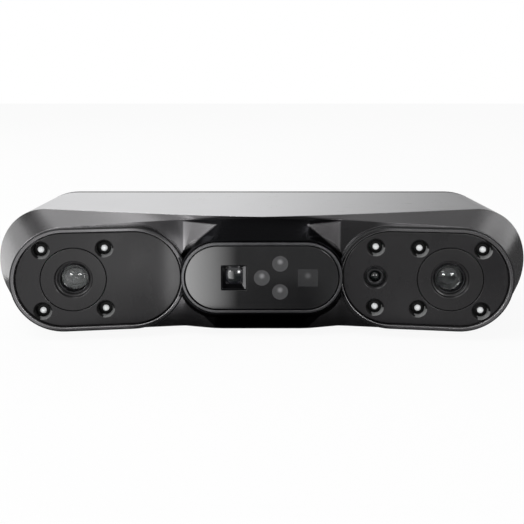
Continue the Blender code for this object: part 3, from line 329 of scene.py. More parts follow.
@dataclass(frozen=True)
class BlastedMetal(Finish):
    """Bead-blasted, anodised metal: a fine matt grain, faint handling marks and rubbed edges."""

    grain_scale: float = 7000.0
    grain_depth: float = 0.000012
    rubbed: float = 1.8
    cloud: float = 0.07

    def surface(self, graph: Graph) -> dict[str, Signal]:
        """Grain, clouds of tone, fine drawn scratches and rubbed edges.

        Args:
            graph: The material's nodes.

        Returns:
            A signal for each input that varies.
        """
        grain = graph.noise(self.grain_scale, 3.0)
        clouds = graph.noise(38.0, 4.0)
        scratches = graph.band(graph.noise(900.0, 3.0, (0.06, 1.0, 1.0)), 0.62, 0.74)
        worn = graph.edges(0.0005) * graph.band(graph.noise(700.0, 4.0), 0.38, 0.62)
        toned = graph.blend(self.lighter(1 - 2 * self.cloud), self.lighter(1 + 2 * self.cloud), clouds)
        speckled = graph.blend(toned, self.lighter(1.25), grain * 0.3)
        colour = graph.blend(speckled, self.lighter(self.rubbed), worn * 0.6)
        rough = self.roughness + (clouds - 0.5) * 0.16 + (grain - 0.5) * 0.08
        rough = rough - scratches * 0.05 - worn * 0.08
        relief = self.relief(graph, grain - scratches * 0.4, self.grain_depth)
        return {"Base Color": colour, "Roughness": rough, "Normal": relief}


@dataclass(frozen=True)
class CasingMetal(BlastedMetal):
    """The casing's blasted metal, black on the collar (partly black paint, partly painted shade) and with
    painted shade on the brow, cheeks and belly round it.
    """

    middle: float = 0.0
    # Colour of the collar's black paint and of the painted shade round it.
    black: Colour = (0.005, 0.005, 0.0055)
    reach: float = 0.0187
    start: float = 0.0165
    slope: float = 1.15
    fade: float = 0.0006
    brow_rise: float = 0.055
    brow_end: float = 0.040
    brow_slope: float = 8.0
    brow_fade: float = 0.004
    face_radius: float = 0.0188
    face_rise: float = 0.0026
    face_straight: float = 0.0688
    waist: float = 0.028
    cheek_end: float = 0.049
    cheek_fade: float = 0.01
    cheek_share: float = 0.75
    belly_top: float = 0.004
    belly_full: float = 0.012
    belly_end: float = 0.038
    belly_fade: float = 0.009
    belly_share: float = 0.8

    def surface(self, graph: Graph) -> dict[str, Signal]:
        """Blasted metal, black in the middle with ends that lean in (partly black paint, partly painted
        shade), and painted shade on a brow that fades out to the sides, on the cheeks and on the belly.

        Args:
            graph: The material's nodes.

        Returns:
            A signal for each input that varies.
        """
        signals = super().surface(graph)
        across = abs(graph.axis("X"))
        upward = abs(graph.axis("Z") - self.middle)
        border = (self.reach - upward) * self.slope + self.start
        collar = 1 - graph.band(across - border, -self.fade, self.fade)
        edge = (across - self.start) * self.brow_rise + self.reach
        above = graph.band(upward - edge, 0.0, self.fade)
        limit = self.brow_end - (upward - self.reach) * self.brow_slope
        brow = above * (1 - graph.band(across - limit, -self.brow_fade, self.brow_fade))
        below = graph.band(self.middle - graph.axis("Z"), self.belly_top, self.belly_full)
        beside = graph.band(across - self.belly_end, -self.belly_fade, self.belly_fade)
        belly = below * (1 - beside) * self.belly_share
        rim = (1 - across * (1 / self.face_straight)) * self.face_rise + self.face_radius
        front = 1 - graph.band(upward - rim, -self.fade / 3, self.fade / 3)
        beyond_waist = graph.band(across, self.waist - self.fade / 2, self.waist + self.fade / 2)
        beyond_cheek = graph.band(across, self.cheek_end - self.cheek_fade, self.cheek_end)
        cheek = front * beyond_waist * (1 - beyond_cheek) * self.cheek_share
        # Black paint on the collar together with painted shade on the brow, cheeks and belly; there the
        # metal turns fully metallic.
        black_paint_and_shade = collar.larger(brow).larger(belly).larger(cheek)
        signals["Base Color"] = graph.blend(signals["Base Color"], self.black, black_paint_and_shade)
        signals["Metallic"] = self.metallic + black_paint_and_shade * (1 - self.metallic)
        return signals


@dataclass(frozen=True)
class MouldedPlastic(Finish):
    """Moulded plastic with a spark-eroded grain, and faint greasy smudges from handling."""

    grain_scale: float = 2600.0
    grain_depth: float = 0.00002
    smudge: float = 0.1

    def surface(self, graph: Graph) -> dict[str, Signal]:
        """Moulded grain, smudges, dust specks and polished edges.

        Args:
            graph: The material's nodes.

        Returns:
            A signal for each input that varies.
        """
        pits = graph.cells(self.grain_scale)
        grain = pits * 0.6 + graph.noise(self.grain_scale * 2.2, 2.0) * 0.5
        smudges = graph.band(graph.noise(70.0, 5.0, (1.0, 1.0, 0.6)), 0.42, 0.68)
        dust = graph.band(graph.noise(2200.0, 1.0), 0.74, 0.8)
        polished = graph.edges(0.0004)
        toned = graph.blend(self.colour, self.lighter(1.35), smudges * 0.5)
        colour = graph.blend(toned, self.lighter(3.0), dust * 0.35 + polished * 0.4)
        rough = self.roughness - smudges * self.smudge + (grain - 0.5) * 0.08 - polished * 0.1
        relief = self.relief(graph, grain, self.grain_depth)
        return {"Base Color": colour, "Roughness": rough, "Normal": relief}


@dataclass(frozen=True)
class TurnedMetal(Finish):
    """Metal turned on a lathe about its own Y axis, with the tool's fine rings left in it."""

    ring_pitch: float = 0.00012
    ring_depth: float = 0.000006

    def surface(self, graph: Graph) -> dict[str, Signal]:
        """Tool rings that wander a little, with rubbed edges.

        Args:
            graph: The material's nodes.

        Returns:
            A signal for each input that varies.
        """
        reach = graph.ring_distance() + graph.axis("Y")
        wander = graph.noise(500.0, 2.0) * (self.ring_pitch * 0.5)
        rings = ((reach + wander) * (2 * math.pi / self.ring_pitch)).sine() * 0.5 + 0.5
        blotches = graph.noise(420.0, 3.0)
        worn = graph.edges(0.0003)
        toned = graph.blend(self.lighter(0.85), self.lighter(1.2), blotches)
        colour = graph.blend(toned, self.lighter(1.9), worn * 0.6)
        rough = self.roughness + (blotches - 0.5) * 0.14 + rings * 0.05 - worn * 0.08
        relief = self.relief(graph, rings, self.ring_depth)
        return {"Base Color": colour, "Roughness": rough, "Normal": relief}


@dataclass(frozen=True)
class MilledMetal(Finish):
    """Bare milled metal with straight cutter lines and a little tarnish."""

    line_scale: float = 2400.0
    line_depth: float = 0.00001

    def surface(self, graph: Graph) -> dict[str, Signal]:
        """Cutter lines along the length, and tarnish.

        Args:
            graph: The material's nodes.

        Returns:
            A signal for each input that varies.
        """
        lines = graph.noise(self.line_scale, 3.0, (0.03, 1.0, 1.0))
        tarnish = graph.noise(110.0, 4.0)
        colour = graph.blend(self.lighter(0.78), self.lighter(1.12), tarnish * 0.7 + lines * 0.3)
        rough = self.roughness + (tarnish - 0.5) * 0.2 + (lines - 0.5) * 0.12
        relief = self.relief(graph, lines, self.line_depth)
        return {"Base Color": colour, "Roughness": rough, "Normal": relief}


@dataclass(frozen=True)
class ClearGlass(Finish):
    """Coated optical glass with a faint film of dust."""

    refraction: float = 1.12
    coat_roughness: float = 0.1
    coat_refraction: float = 1.45

    def constants(self) -> dict[str, float]:
        """The values that stay the same all over, with those of glass and of its coating."""
        glass = {"Transmission Weight": 1.0, "IOR": self.refraction, "Coat IOR": self.coat_refraction}
        return {**super().constants(), **glass, "Coat Roughness": self.coat_roughness}

    def surface(self, graph: Graph) -> dict[str, Signal]:
        """Clear glass, rougher where dust lies.

        Args:
            graph: The material's nodes.

        Returns:
            A signal for each input that varies.
        """
        dust = graph.band(graph.noise(1500.0, 2.0), 0.76, 0.84)
        film = graph.noise(260.0, 3.0)
        return {
            "Base Color": graph.blend(self.colour, self.lighter(1.2), film),
            "Roughness": self.roughness + dust * 0.02,
            "Coat Weight": 1 - dust * 0.2,
        }


@dataclass(frozen=True)
class CoatedGlass(Finish):
    """A dark inner lens whose coating turns from green in the middle to violet at its rim."""

    rim_colour: Colour = (0.008, 0.008, 0.011)
    reach: float = 0.0034

    def surface(self, graph: Graph) -> dict[str, Signal]:
        """The coating's colour by distance from the axis.

        Args:
            graph: The material's nodes.

        Returns:
            A signal for each input that varies.
        """
        outward = graph.ring_distance() * (1 / self.reach)
        film = graph.noise(600.0, 2.0)
        return {
            "Base Color": graph.blend(self.colour, self.rim_colour, graph.band(outward, 0.35, 1.0)),
            "Roughness": self.roughness + film * 0.015,
        }


@dataclass(frozen=True)
class Aperture:
    """A clearer place in the dark window: a disc, or a square when width is set."""

    x: float
    z: float
    reach: float
    depth: float
    width: float = 0.0


@dataclass(frozen=True)
class SmokedWindow(Finish):
    """Black infrared-pass glass, through which the emitters' faces show faintly."""

    apertures: tuple[Aperture, ...] = ()
    shown: Colour = (0.13, 0.13, 0.134)
    # Colour of the painted highlight in each aperture.
    bright: Colour = (0.45, 0.45, 0.46)
    fade: float = 0.00012

    def surface(self, graph: Graph) -> dict[str, Signal]:
        """Gloss with a wiped film, and at each emitter a lighter place with a painted highlight a little
        above its middle.

        Args:
            graph: The material's nodes.

        Returns:
            A signal for each input that varies.
        """
        film = graph.band(graph.noise(90.0, 5.0, (1.0, 1.0, 0.4)), 0.4, 0.75)
        specks = graph.band(graph.noise(3000.0, 1.0), 0.76, 0.8)
        colour = graph.blend(self.colour, self.lighter(3.0), specks * 0.5)
        cloudy = graph.noise(1300.0, 4.0) * 0.5 + 0.75
        for aperture in self.apertures:
            colour = graph.blend(colour, self.shown, self._inside(graph, aperture) * aperture.depth * cloudy)
            # A painted highlight, a little above the middle of each aperture.
            near = graph.ring_distance(aperture.x, aperture.z + aperture.reach * 0.25)
            core = 1 - graph.band(near, 0.0, aperture.reach * 0.5)
            colour = graph.blend(colour, self.bright, core * aperture.depth * cloudy)
        return {"Base Color": colour, "Roughness": self.roughness + film * 0.05 + specks * 0.2}

    def _within(self, graph: Graph, distance: Signal, reach: float) -> Signal:
        """1 where a distance is within a reach and 0 beyond it, with a soft edge."""
        return 1 - graph.band(distance, reach - self.fade, reach + self.fade)

    def _inside(self, graph: Graph, aperture: Aperture) -> Signal:
        """How far a point lies inside an aperture.

        Args:
            graph: The material's nodes.
            aperture: The aperture.

        Returns:
            1 inside and 0 outside, with a soft edge.
        """
        if not aperture.width:
            return self._within(graph, graph.ring_distance(aperture.x, aperture.z), aperture.reach)
        across = self._within(graph, abs(graph.axis("X") - aperture.x), aperture.width)
        return across * self._within(graph, abs(graph.axis("Z") - aperture.z), aperture.reach)


@dataclass(frozen=True)
class LampResin(Finish):
    """Milky lamp resin that glows a little from the die inside it."""

    glow: float = 0.25
    die: float = 0.0003
    reach: float = 0.0013
    milk_depth: float = 0.000008

    def constants(self) -> dict[str, float]:
        """The values that stay the same all over, with the glow's."""
        return {**super().constants(), "Emission Strength": self.glow}

    def surface(self, graph: Graph) -> dict[str, Signal]:
        """Milky resin, brighter over the die.

        Args:
            graph: The material's nodes.

        Returns:
            A signal for each input that varies.
        """
        core = 1 - graph.band(graph.ring_distance(), self.die, self.reach)
        milk = graph.noise(2500.0, 3.0)
        return {
            "Base Color": graph.blend(self.lighter(0.92), self.colour, milk),
            "Emission Color": graph.blend(self.lighter(0.5), self.colour, core),
            "Roughness": self.roughness + milk * 0.08,
            "Normal": self.relief(graph, milk, self.milk_depth),
        }


@dataclass(frozen=True)
class SolderMask(Finish):
    """A circuit board: solder mask over copper tracks, with bare pads."""

    track_colour: Colour = (0.05, 0.24, 0.13)
    pad_colour: Colour = (0.72, 0.52, 0.22)
    copper_depth: float = 0.00003

    def surface(self, graph: Graph) -> dict[str, Signal]:
        """Tracks that step about, and a scatter of pads.

        Args:
            graph: The material's nodes.

        Returns:
            A signal for each input that varies.
        """
        settings = {"feature": "F1", "distance": "MANHATTAN"}
        steps = graph.node("ShaderNodeTexVoronoi", settings, {"Vector": graph.place(), "Scale": 420.0})
        tracks = graph.band((steps * 40.0).sine(), 0.1, 0.35)
        pads = 1 - graph.band(graph.cells(650.0), 0.1, 0.16)
        colour = graph.blend(graph.blend(self.colour, self.track_colour, tracks), self.pad_colour, pads)
        return {
            "Base Color": colour,
            "Roughness": self.roughness - pads * 0.1,
            "Metallic": pads * 0.9,
            "Normal": self.relief(graph, tracks + pads, self.copper_depth),
        }


@dataclass(frozen=True)
class RibbonFilm(Finish):
    """Amber film with fine copper conductors along it."""

    conductor: Colour = (0.62, 0.30, 0.10)
    pitch: float = 0.0006
    wire_depth: float = 0.00003

    def surface(self, graph: Graph) -> dict[str, Signal]:
        """Conductors side by side under the film.

        Args:
            graph: The material's nodes.

        Returns:
            A signal for each input that varies.
        """
        turns = graph.axis("X") * (2 * math.pi / self.pitch)
        wires = graph.band(turns.sine(), -0.1, 0.3)
        cloudy = graph.noise(300.0, 3.0)
        return {
            "Base Color": graph.blend(self.colour, self.conductor, wires),
            "Roughness": self.roughness + cloudy * 0.1,
            "Normal": self.relief(graph, wires, self.wire_depth),
        }


@dataclass(frozen=True)
class SoftRubber(Finish):
    """Silicone button rubber: matt, with fine flow marks and shiny patches where fingers press."""

    pressed: Pair = (0.001, 0.005)
    grain_depth: float = 0.000015

    def surface(self, graph: Graph) -> dict[str, Signal]:
        """Fine grain, and a rubbed middle.

        Args:
            graph: The material's nodes.

        Returns:
            A signal for each input that varies.
        """
        grain = graph.noise(5200.0, 3.0)
        pressed = 1 - graph.band(graph.ring_distance(), *self.pressed)
        colour = graph.blend(self.colour, self.lighter(1.5), grain * 0.5)
        return {
            "Base Color": colour,
            "Roughness": self.roughness - pressed * 0.14 + grain * 0.1,
            "Normal": self.relief(graph, grain, self.grain_depth),
        }


class Finishes:
    """The finishes of the scanner's surfaces."""

    SLEEVE = BlastedMetal("sleeve_anodised", (0.53, 0.53, 0.54), 0.32, 1.0)
    # Near-black on the pods' rims: a painted dark reflection.
    RIM = BlastedMetal(
        "rim_black_satin", (0.01, 0.01, 0.0105), 0.32, 0.3, specular=0.22, rubbed=4.0, cloud=0.05
    )
    # Lighter metal on the rims' rounded inner lips: a painted highlight line.
    LIP = BlastedMetal("lip_rubbed_metal", (0.14, 0.137, 0.14), 0.3, 0.8, rubbed=1.4)
    RING = TurnedMetal("window_ring_grey", (0.05, 0.05, 0.052), 0.34, 0.9)
    COVER = MouldedPlastic("cover_grained_black", (0.026, 0.026, 0.028), 0.5, specular=0.45)
    PLATE = MouldedPlastic(
        "plate_satin_black", (0.0112, 0.0107, 0.0114), 0.31,
        specular=0.26, grain_scale=5200.0, grain_depth=0.000006,
    )
    BEZEL = MouldedPlastic(
        "bezel_satin_black", (0.012, 0.0115, 0.012), 0.31,
        specular=0.25, grain_scale=5200.0, grain_depth=0.000005,
    )
    # Near-black on the lamps' dishes: painted shade in the recesses.
    DISH = TurnedMetal("dish_black", (0.003, 0.003, 0.003), 0.4, specular=0.12, ring_pitch=0.0002)
    # Lighter grey on the lower right side of each dish: a painted lit crescent.
    DUSTY_DISH = MouldedPlastic(
        "dish_dusty_side", (0.085, 0.086, 0.086), 0.5, specular=0.3, grain_scale=5200.0
    )
    LENS_RING = TurnedMetal("lens_ring_grey", (0.08, 0.084, 0.085), 0.3, 0.9)
    BLACK = TurnedMetal("barrel_black_anodised", (0.012, 0.012, 0.013), 0.3, 0.5)
    BAFFLE = TurnedMetal("baffle_matt_black", (0.003, 0.003, 0.003), 0.55, specular=0.1, ring_pitch=0.0003)
    LENS = ClearGlass("lens_front_glass", (0.93, 0.98, 0.96), 0.0)
    INNER_LENS = CoatedGlass("lens_coated_inner", (0.003, 0.0055, 0.0055), 0.1, specular=0.08)
    SMALL_LENS = CoatedGlass("lens_small_gloss", (0.003, 0.005, 0.005), 0.11, specular=0.6)
    LAMP = LampResin("lamp_milky_resin", (0.56, 0.57, 0.575), 0.22, glow=0.04)
    BOARD = SolderMask("board_green", (0.012, 0.09, 0.045), 0.42)
    ALUMINIUM = MilledMetal("aluminium_milled", (0.56, 0.56, 0.57), 0.34, 1.0)
    STEEL = TurnedMetal("steel_bright", (0.42, 0.42, 0.43), 0.26, 1.0)
    EMITTER_FACE = TurnedMetal("emitter_grey_face", (0.20, 0.20, 0.205), 0.42, 0.7, ring_pitch=0.00025)
    HOOD = TurnedMetal("hood_dark_satin", (0.008, 0.008, 0.009), 0.3, 0.9, ring_pitch=0.00025)
    # Pale grey on the projector hood's right-hand inner wall: painted light.
    PALE_WALL = MouldedPlastic("hood_bare_wall", (0.2, 0.2, 0.205), 0.45)
    GOLD = MilledMetal("contact_gold", (0.83, 0.62, 0.28), 0.25, 1.0)
    RUBBER = SoftRubber("button_silicone", (0.05, 0.05, 0.052), 0.6)
    SYMBOL = SoftRubber("button_mark_pale", (0.34, 0.34, 0.35), 0.5)
    RIBBON = RibbonFilm("ribbon_amber", (0.30, 0.12, 0.03), 0.3)
    PIPE = LampResin("pipe_pale_green", (0.42, 0.72, 0.50), 0.16, glow=0.12)


class Form:
    """Outlines, profiles and the meshes made from them."""

    @staticmethod
    def stadium(half_length: float, radius: float, steps: int = QUARTER_STEPS, spans: int = 1) -> Outline:
        """Outline of a bar with round ends.

        Args:
            half_length: Half its length, ends included.
            radius: The radius of its ends.
            steps: Steps in a quarter turn.
            spans: Spans along each straight side.

        Returns:
            Points from the left tip over the top to the right tip, and back underneath.
        """
        straight = half_length - radius
        upper = []
        for i in range(steps + 1):
            angle = math.pi - i * math.pi / 2 / steps
            upper.append((-straight + radius * math.cos(angle), radius * math.sin(angle)))
        for i in range(1, spans):
            upper.append((-straight + 2 * straight * i / spans, radius))
        for i in range(steps + 1):
            angle = math.pi / 2 - i * math.pi / 2 / steps
            upper.append((straight + radius * math.cos(angle), radius * math.sin(angle)))
        return upper + [(x, -z) for x, z in reversed(upper[1:-1])]

    @staticmethod
    def circle(radius: float, steps: int = ROUND_STEPS) -> Outline:
        """Outline of a circle."""
        turns = [2 * math.pi * i / steps for i in range(steps)]
        return [(radius * math.cos(turn), radius * math.sin(turn)) for turn in turns]

    @staticmethod
    def rounded_rectangle(half_width: float, half_height: float, corner: float) -> Outline:
        """Outline of a rectangle with round corners.

        Args:
            half_width: Half its width.
            half_height: Half its height.
            corner: The corners' radius.

        Returns:
            Its points, anticlockwise from the lower right corner.
        """
        points = []
        for number, (side, up) in enumerate(((1, -1), (1, 1), (-1, 1), (-1, -1))):
            for i in range(CORNER_STEPS + 1):
                angle = (number - 1 + i / CORNER_STEPS) * math.pi / 2
                x = side * (half_width - corner) + corner * math.cos(angle)
                points.append((x, up * (half_height - corner) + corner * math.sin(angle)))
        return points

    @classmethod
    def growing(cls, half_length: float, radius: float, steps: int = QUARTER_STEPS) -> Growing:
        """The outline of a bar with round ends, as a function of how much it is grown."""
        return lambda grow: cls.stadium(half_length + grow, radius + grow, steps)

    @classmethod
    def growing_circle(cls, radius: float, steps: int = SMALL_ROUND_STEPS) -> Growing:
        """The outline of a circle, as a function of how much it is grown."""
        return lambda grow: cls.circle(radius + grow, steps)

    @classmethod
    def growing_rectangle(cls, half: Pair, corner: float) -> Growing:
        """The outline of a rectangle with round corners, as a function of how much it is grown."""
        return lambda grow: cls.rounded_rectangle(half[0] + grow, half[1] + grow, corner + max(0.0, grow))

    @staticmethod
    def mesh(shape: bmesh.types.BMesh) -> Mesh:
        """Turns a bmesh into a mesh whose faces point out.

        Args:
            shape: The bmesh, which is freed.

        Returns:
            The mesh.
        """
        bmesh.ops.recalc_face_normals(shape, faces=shape.faces[:])
        made = bpy.data.meshes.new("form")
        shape.to_mesh(made)
        shape.free()
        return made

    @classmethod
    def loft(cls, rings: Sequence[Sequence[Sequence[float]]], strip_caps: bool = False) -> Mesh:
        """A closed solid through rings of equal count.

        Args:
            rings: The rings, from front to back.
            strip_caps: Whether a bent end ring is closed by strips from its top to its bottom.

        Returns:
            The mesh.
        """
        shape = bmesh.new()
        loops = [[shape.verts.new(point) for point in ring] for ring in rings]
        cls._skin(shape, list(zip(loops, loops[1:])))
        count = len(rings[0])
        for loop in (loops[0], loops[-1]):
            if not strip_caps:
                shape.faces.new(loop)
                continue
            for i in range(count // 2):
                corners = [loop[i], loop[i + 1], loop[(count - i - 1) % count], loop[(count - i) % count]]
                shape.faces.new(list(dict.fromkeys(corners)))
        return cls.mesh(shape)

    @classmethod
    def tube(cls, rings: Sequence[Sequence[Sequence[float]]]) -> Mesh:
        """A closed wall through rings of equal count, whose last ring meets its first.

        Args:
            rings: The rings, in order.

        Returns:
            The mesh.
        """
        shape = bmesh.new()
        loops = [[shape.verts.new(point) for point in ring] for ring in rings]
        cls._skin(shape, list(zip(loops, loops[1:] + loops[:1])))
        return cls.mesh(shape)

    @staticmethod
    def _skin(shape: bmesh.types.BMesh, pairs: Sequence[tuple[list, list]]) -> None:
        """Spans faces between pairs of closed loops of equal count.

        Args:
            shape: The bmesh.
            pairs: The pairs of loops.
        """
        for near, far in pairs:
            count = len(near)
            for i in range(count):
                j = (i + 1) % count
                shape.faces.new((near[i], near[j], far[j], far[i]))

    @classmethod
    def layers(cls, outlines: Sequence[tuple[Outline, float]]) -> Mesh:
        """A solid through (outline, depth) pairs, each outline lying across Y."""
        return cls.loft([[(x, depth, z) for x, z in outline] for outline, depth in outlines])

    @classmethod
    def bar(cls, outline: Outline, front: float, back: float) -> Mesh:
        """A straight bar of one outline between two depths."""
        return cls.layers([(outline, front), (outline, back)])

    @classmethod
    def slab(cls, outline: Growing, front: float, back: float, rounds: Pair) -> Mesh:
        """A slab between two depths with rounded edges.

        Args:
            outline: Gives the slab's outline, grown by a length.
            front: The depth of its front.
            back: The depth of its back.
            rounds: The radii of its front and back edges.

        Returns:
            The mesh.
        """
        stack = []
        for depth, radius, inward in ((front, rounds[0], 1), (back, rounds[1], -1)):
            if not radius:
                stack.append((outline(0.0), depth))
                continue
            arc = []
            for i in range(LIP_STEPS + 1):
                angle = i * math.pi / 2 / LIP_STEPS
                grown = outline(radius * (math.sin(angle) - 1))
                arc.append((grown, depth + inward * radius * (1 - math.cos(angle))))
            stack += arc if inward > 0 else arc[::-1]
        return cls.layers(stack)

    @classmethod
    def mouth(cls, outline: Growing, front: float, back: float, lip: float, overrun: float) -> Mesh:
        """A cutter for a hole whose front edge is rounded.

        Args:
            outline: Gives the hole's outline, grown by a length.
            front: The depth of the surface that it is cut in.
            back: Where the hole ends.
            lip: The radius of the rounded edge.
            overrun: How far the cutter stands in front of the surface.

        Returns:
            The mesh.
        """
        stack = [(outline(lip * 1.05), front - overrun)]
        for i in range(LIP_STEPS + 1):
            angle = i * math.pi / 2 / LIP_STEPS
            grown = outline(lip * (1.02 - math.sin(angle)))
            stack.append((grown, front - lip * 0.02 + lip * (1 - math.cos(angle))))
        stack.append((outline(0.0), back))
        return cls.layers(stack)

    @classmethod
    def turned(cls, profile: Profile, steps: int = ROUND_STEPS) -> Mesh:
        """A solid turned about Y.

        Args:
            profile: (radius, depth) points, closed on the axis where its ends lie there, and else on itself.
            steps: Steps in the full turn.

        Returns:
            The mesh.
        """
        shape = bmesh.new()
        closed = profile[0][0] > 0
        loops = []
        for radius, depth in profile if closed else profile[1:-1]:
            loops.append([shape.verts.new((x, depth, z)) for x, z in cls.circle(radius, steps)])
        pairs = list(zip(loops, loops[1:]))
        if closed:
            pairs.append((loops[-1], loops[0]))
        cls._skin(shape, pairs)
        if not closed:
            for tip, loop in ((profile[0], loops[0]), (profile[-1], loops[-1])):
                centre = shape.verts.new((0, tip[1], 0))
                for i in range(steps):
                    shape.faces.new((centre, loop[i], loop[(i + 1) % steps]))
        return cls.mesh(shape)

    @staticmethod
    def dome(radius: float, foot: float, crown: float, steps: int) -> Profile:
        """Profile of a shallow dome.

        Args:
            radius: Its radius at the foot.
            foot: The depth of its foot.
            crown: How far it stands in front of its foot.
            steps: Steps from its crown to its foot.

        Returns:
            Points from the crown on the axis to the foot.
        """
        sphere = (radius * radius + crown * crown) / (2 * crown)
        spread = math.asin(min(1.0, radius / sphere))
        if crown > radius * 0.999:
            spread = math.pi / 2
        points = []
        for i in range(steps + 1):
            angle = spread * i / steps
            points.append((sphere * math.sin(angle), foot - crown + sphere * (1 - math.cos(angle))))
        return points

    @staticmethod
    def moved(mesh: Mesh, place: Matrix) -> Mesh:
        """The mesh, moved by a matrix."""
        mesh.transform(place)
        return mesh

    @classmethod
    def shifted(cls, mesh: Mesh, x: float, z: float = 0.0) -> Mesh:
        """The mesh, moved along X and Z."""
        return cls.moved(mesh, Matrix.Translation((x, 0, z)))


Patch = tuple[Finish, Callable[[Face], bool]]


class Piece:
    """A visible piece in the making."""

    def __init__(self, name: str, mesh: Mesh, place: Matrix | None = None) -> None:
        """Puts a mesh in the scene.

        Args:
            name: The piece's name.
            mesh: Its mesh, in its own axes.
            place: Where those axes lie; None for the row frame's.
        """
        mesh.name = name
        self.thing = bpy.data.objects.new(name, mesh)
        bpy.context.scene.collection.objects.link(self.thing)
        self.thing.matrix_world = place or Matrix.Identity(4)

    def _combine(self, meshes: Sequence[Mesh], operation: str) -> None:
        """Cuts meshes from this piece or joins them, one after another, in the piece's own axes.

        Args:
            meshes: The other meshes.
            operation: DIFFERENCE or UNION.
        """
        for mesh in meshes:
            tool = bpy.data.objects.new("tool", mesh)
            bpy.context.scene.collection.objects.link(tool)
            tool.matrix_world = self.thing.matrix_world
            change = self.thing.modifiers.new("change", "BOOLEAN")
            change.operation = operation
            change.solver = "EXACT"
            change.object = tool
            bpy.context.view_layer.update()
            graph = bpy.context.evaluated_depsgraph_get()
            result = bpy.data.meshes.new_from_object(self.thing.evaluated_get(graph))
            self.thing.modifiers.clear()
            result.name = self.thing.name
            self.thing.data = result
            bpy.data.objects.remove(tool)

    def cut(self, *meshes: Mesh) -> None:
        """Cuts meshes from the piece, one after another."""
        self._combine(meshes, "DIFFERENCE")

    def join(self, *meshes: Mesh) -> None:
        """Joins meshes to the piece, one after another."""
        self._combine(meshes, "UNION")

    def dress(
        self,
        finish: Finish,
        slot: Slot,
        stands_for: Sequence[str] = (),
        body: Body = Body.SCANNER,
        patches: Sequence[Patch] = (),
    ) -> None:
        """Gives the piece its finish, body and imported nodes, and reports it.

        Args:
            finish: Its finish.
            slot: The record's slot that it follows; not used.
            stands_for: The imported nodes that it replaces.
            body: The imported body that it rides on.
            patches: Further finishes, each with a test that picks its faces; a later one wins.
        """
        data = self.thing.data
        data.materials.clear()
        data.materials.append(finish.material())
        for patch_finish, _ in patches:
            data.materials.append(patch_finish.material())
        for face in data.polygons:
            face.material_index = 0
            for number, (_, picks) in enumerate(patches, start=1):
                if picks(face):
                    face.material_index = number
        data.shade_smooth()
        data.set_sharp_from_angle(angle=SHARP_ANGLE)
        even = self.thing.modifiers.new("even_normals", "WEIGHTED_NORMAL")
        even.keep_sharp = True
        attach(self.thing, body.value)
        if stands_for:
            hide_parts(*stands_for)
        log.info("%s: %d faces, finish %s", self.thing.name, len(data.polygons), finish.name)


@dataclass
class Envelope:
    """Outer sizes and clearances that all sub-assemblies share."""

    length: float = 0.204
    height: float = 0.0435
    depth: float = 0.061
    wall: float = 0.0018
    gap: float = 0.0003
    overrun: float = 0.002
    face_end_inset: float = 0.0144
    face_inset: float = 0.00295
    cover_thickness: float = 0.003

    @property
    def front(self) -> float:
        """Y of the foremost point."""
        return -self.depth / 2

    @property
    def back(self) -> float:
        """Y of the back."""
        return self.depth / 2

    @property
    def middle(self) -> float:
        """Z of the middle."""
        return self.height / 2

    @property
    def half_length(self) -> float:
        """Half the length."""
        return self.length / 2

    @property
    def radius(self) -> float:
        """The radius of the round ends."""
        return self.height / 2

    @property
    def face_half(self) -> float:
        """Half the length of the casing's face."""
        return self.half_length - self.face_end_inset

    @property
    def face_radius(self) -> float:
        """The radius of the face's round ends."""
        return self.radius - self.face_inset

    @property
    def cover_front(self) -> float:
        """Y of the rear cover's front."""
        return self.back - self.cover_thickness

    def spot(self, x: float = 0.0, z: float = 0.0, y: float = 0.0) -> Matrix:
        """A place on the body, measured from its middle height."""
        return Matrix.Translation((x, y, self.middle + z))


@dataclass
class Pod:
    """One camera pod's sizes and axes, shared by the pieces in it."""

    side: Side
    shell: Envelope
    toe_in: float = math.radians(6.1)
    half: float = 0.0304
    step: float = 0.0002
    edge: float = 0.0006
    root: float = 0.0065
    rim: float = 0.0016
    recess: float = 0.0008
    thickness: float = 0.002
    ledge: float = 0.002
    camera_inset: float = 0.0216
    colour_inset: float = 0.0133
    lamp_row: float = 0.0109
    lamp_column: float = 0.0108

    @property
    def radius(self) -> float:
        """The radius of the pod's round ends."""
        return self.shell.face_radius - self.step

    @property
    def plate_back(self) -> float:
        """The depth of the plate's back."""
        return self.recess + self.thickness

    @property
    def camera_x(self) -> float:
        """The camera's place along the pod."""
        return self.side.value * (self.half - self.camera_inset)

    @property
    def colour_x(self) -> float:
        """The colour camera's place along the pod."""
        return self.colour_inset - self.half

    @property
    def frame(self) -> Matrix:
        """The pod's axes: its rim lies across Y at depth 0."""
        outer = self.shell.face_half - self.step
        x = self.side.value * (outer - self.half * math.cos(self.toe_in))
        y = self.shell.front + self.half * math.sin(self.toe_in)
        return self.shell.spot(x, 0, y) @ Matrix.Rotation(-self.side.value * self.toe_in, 4, "Z")

    def inner(self, x: float, z: float = 0.0) -> Matrix:
        """Axes at a place on the pod's rim plane."""
        return self.frame @ Matrix.Translation((x, 0, z))

    def lamps(self) -> list[Pair]:
        """Where the lamps stand round the camera.

        Returns:
            Each lamp's place along the pod and its height.
        """
        columns = [self.camera_x - self.lamp_column, self.camera_x + self.lamp_column]
        if self.side is Side.RIGHT:
            columns.insert(0, self.colour_x)
        return [(x, z) for x in columns for z in (self.lamp_row, -self.lamp_row)]

    def outline(self, inset: float) -> Growing:
        """The pod's outline drawn in by an inset, as a function of how much it is grown."""
        return Form.growing(self.half - inset, self.radius - inset)


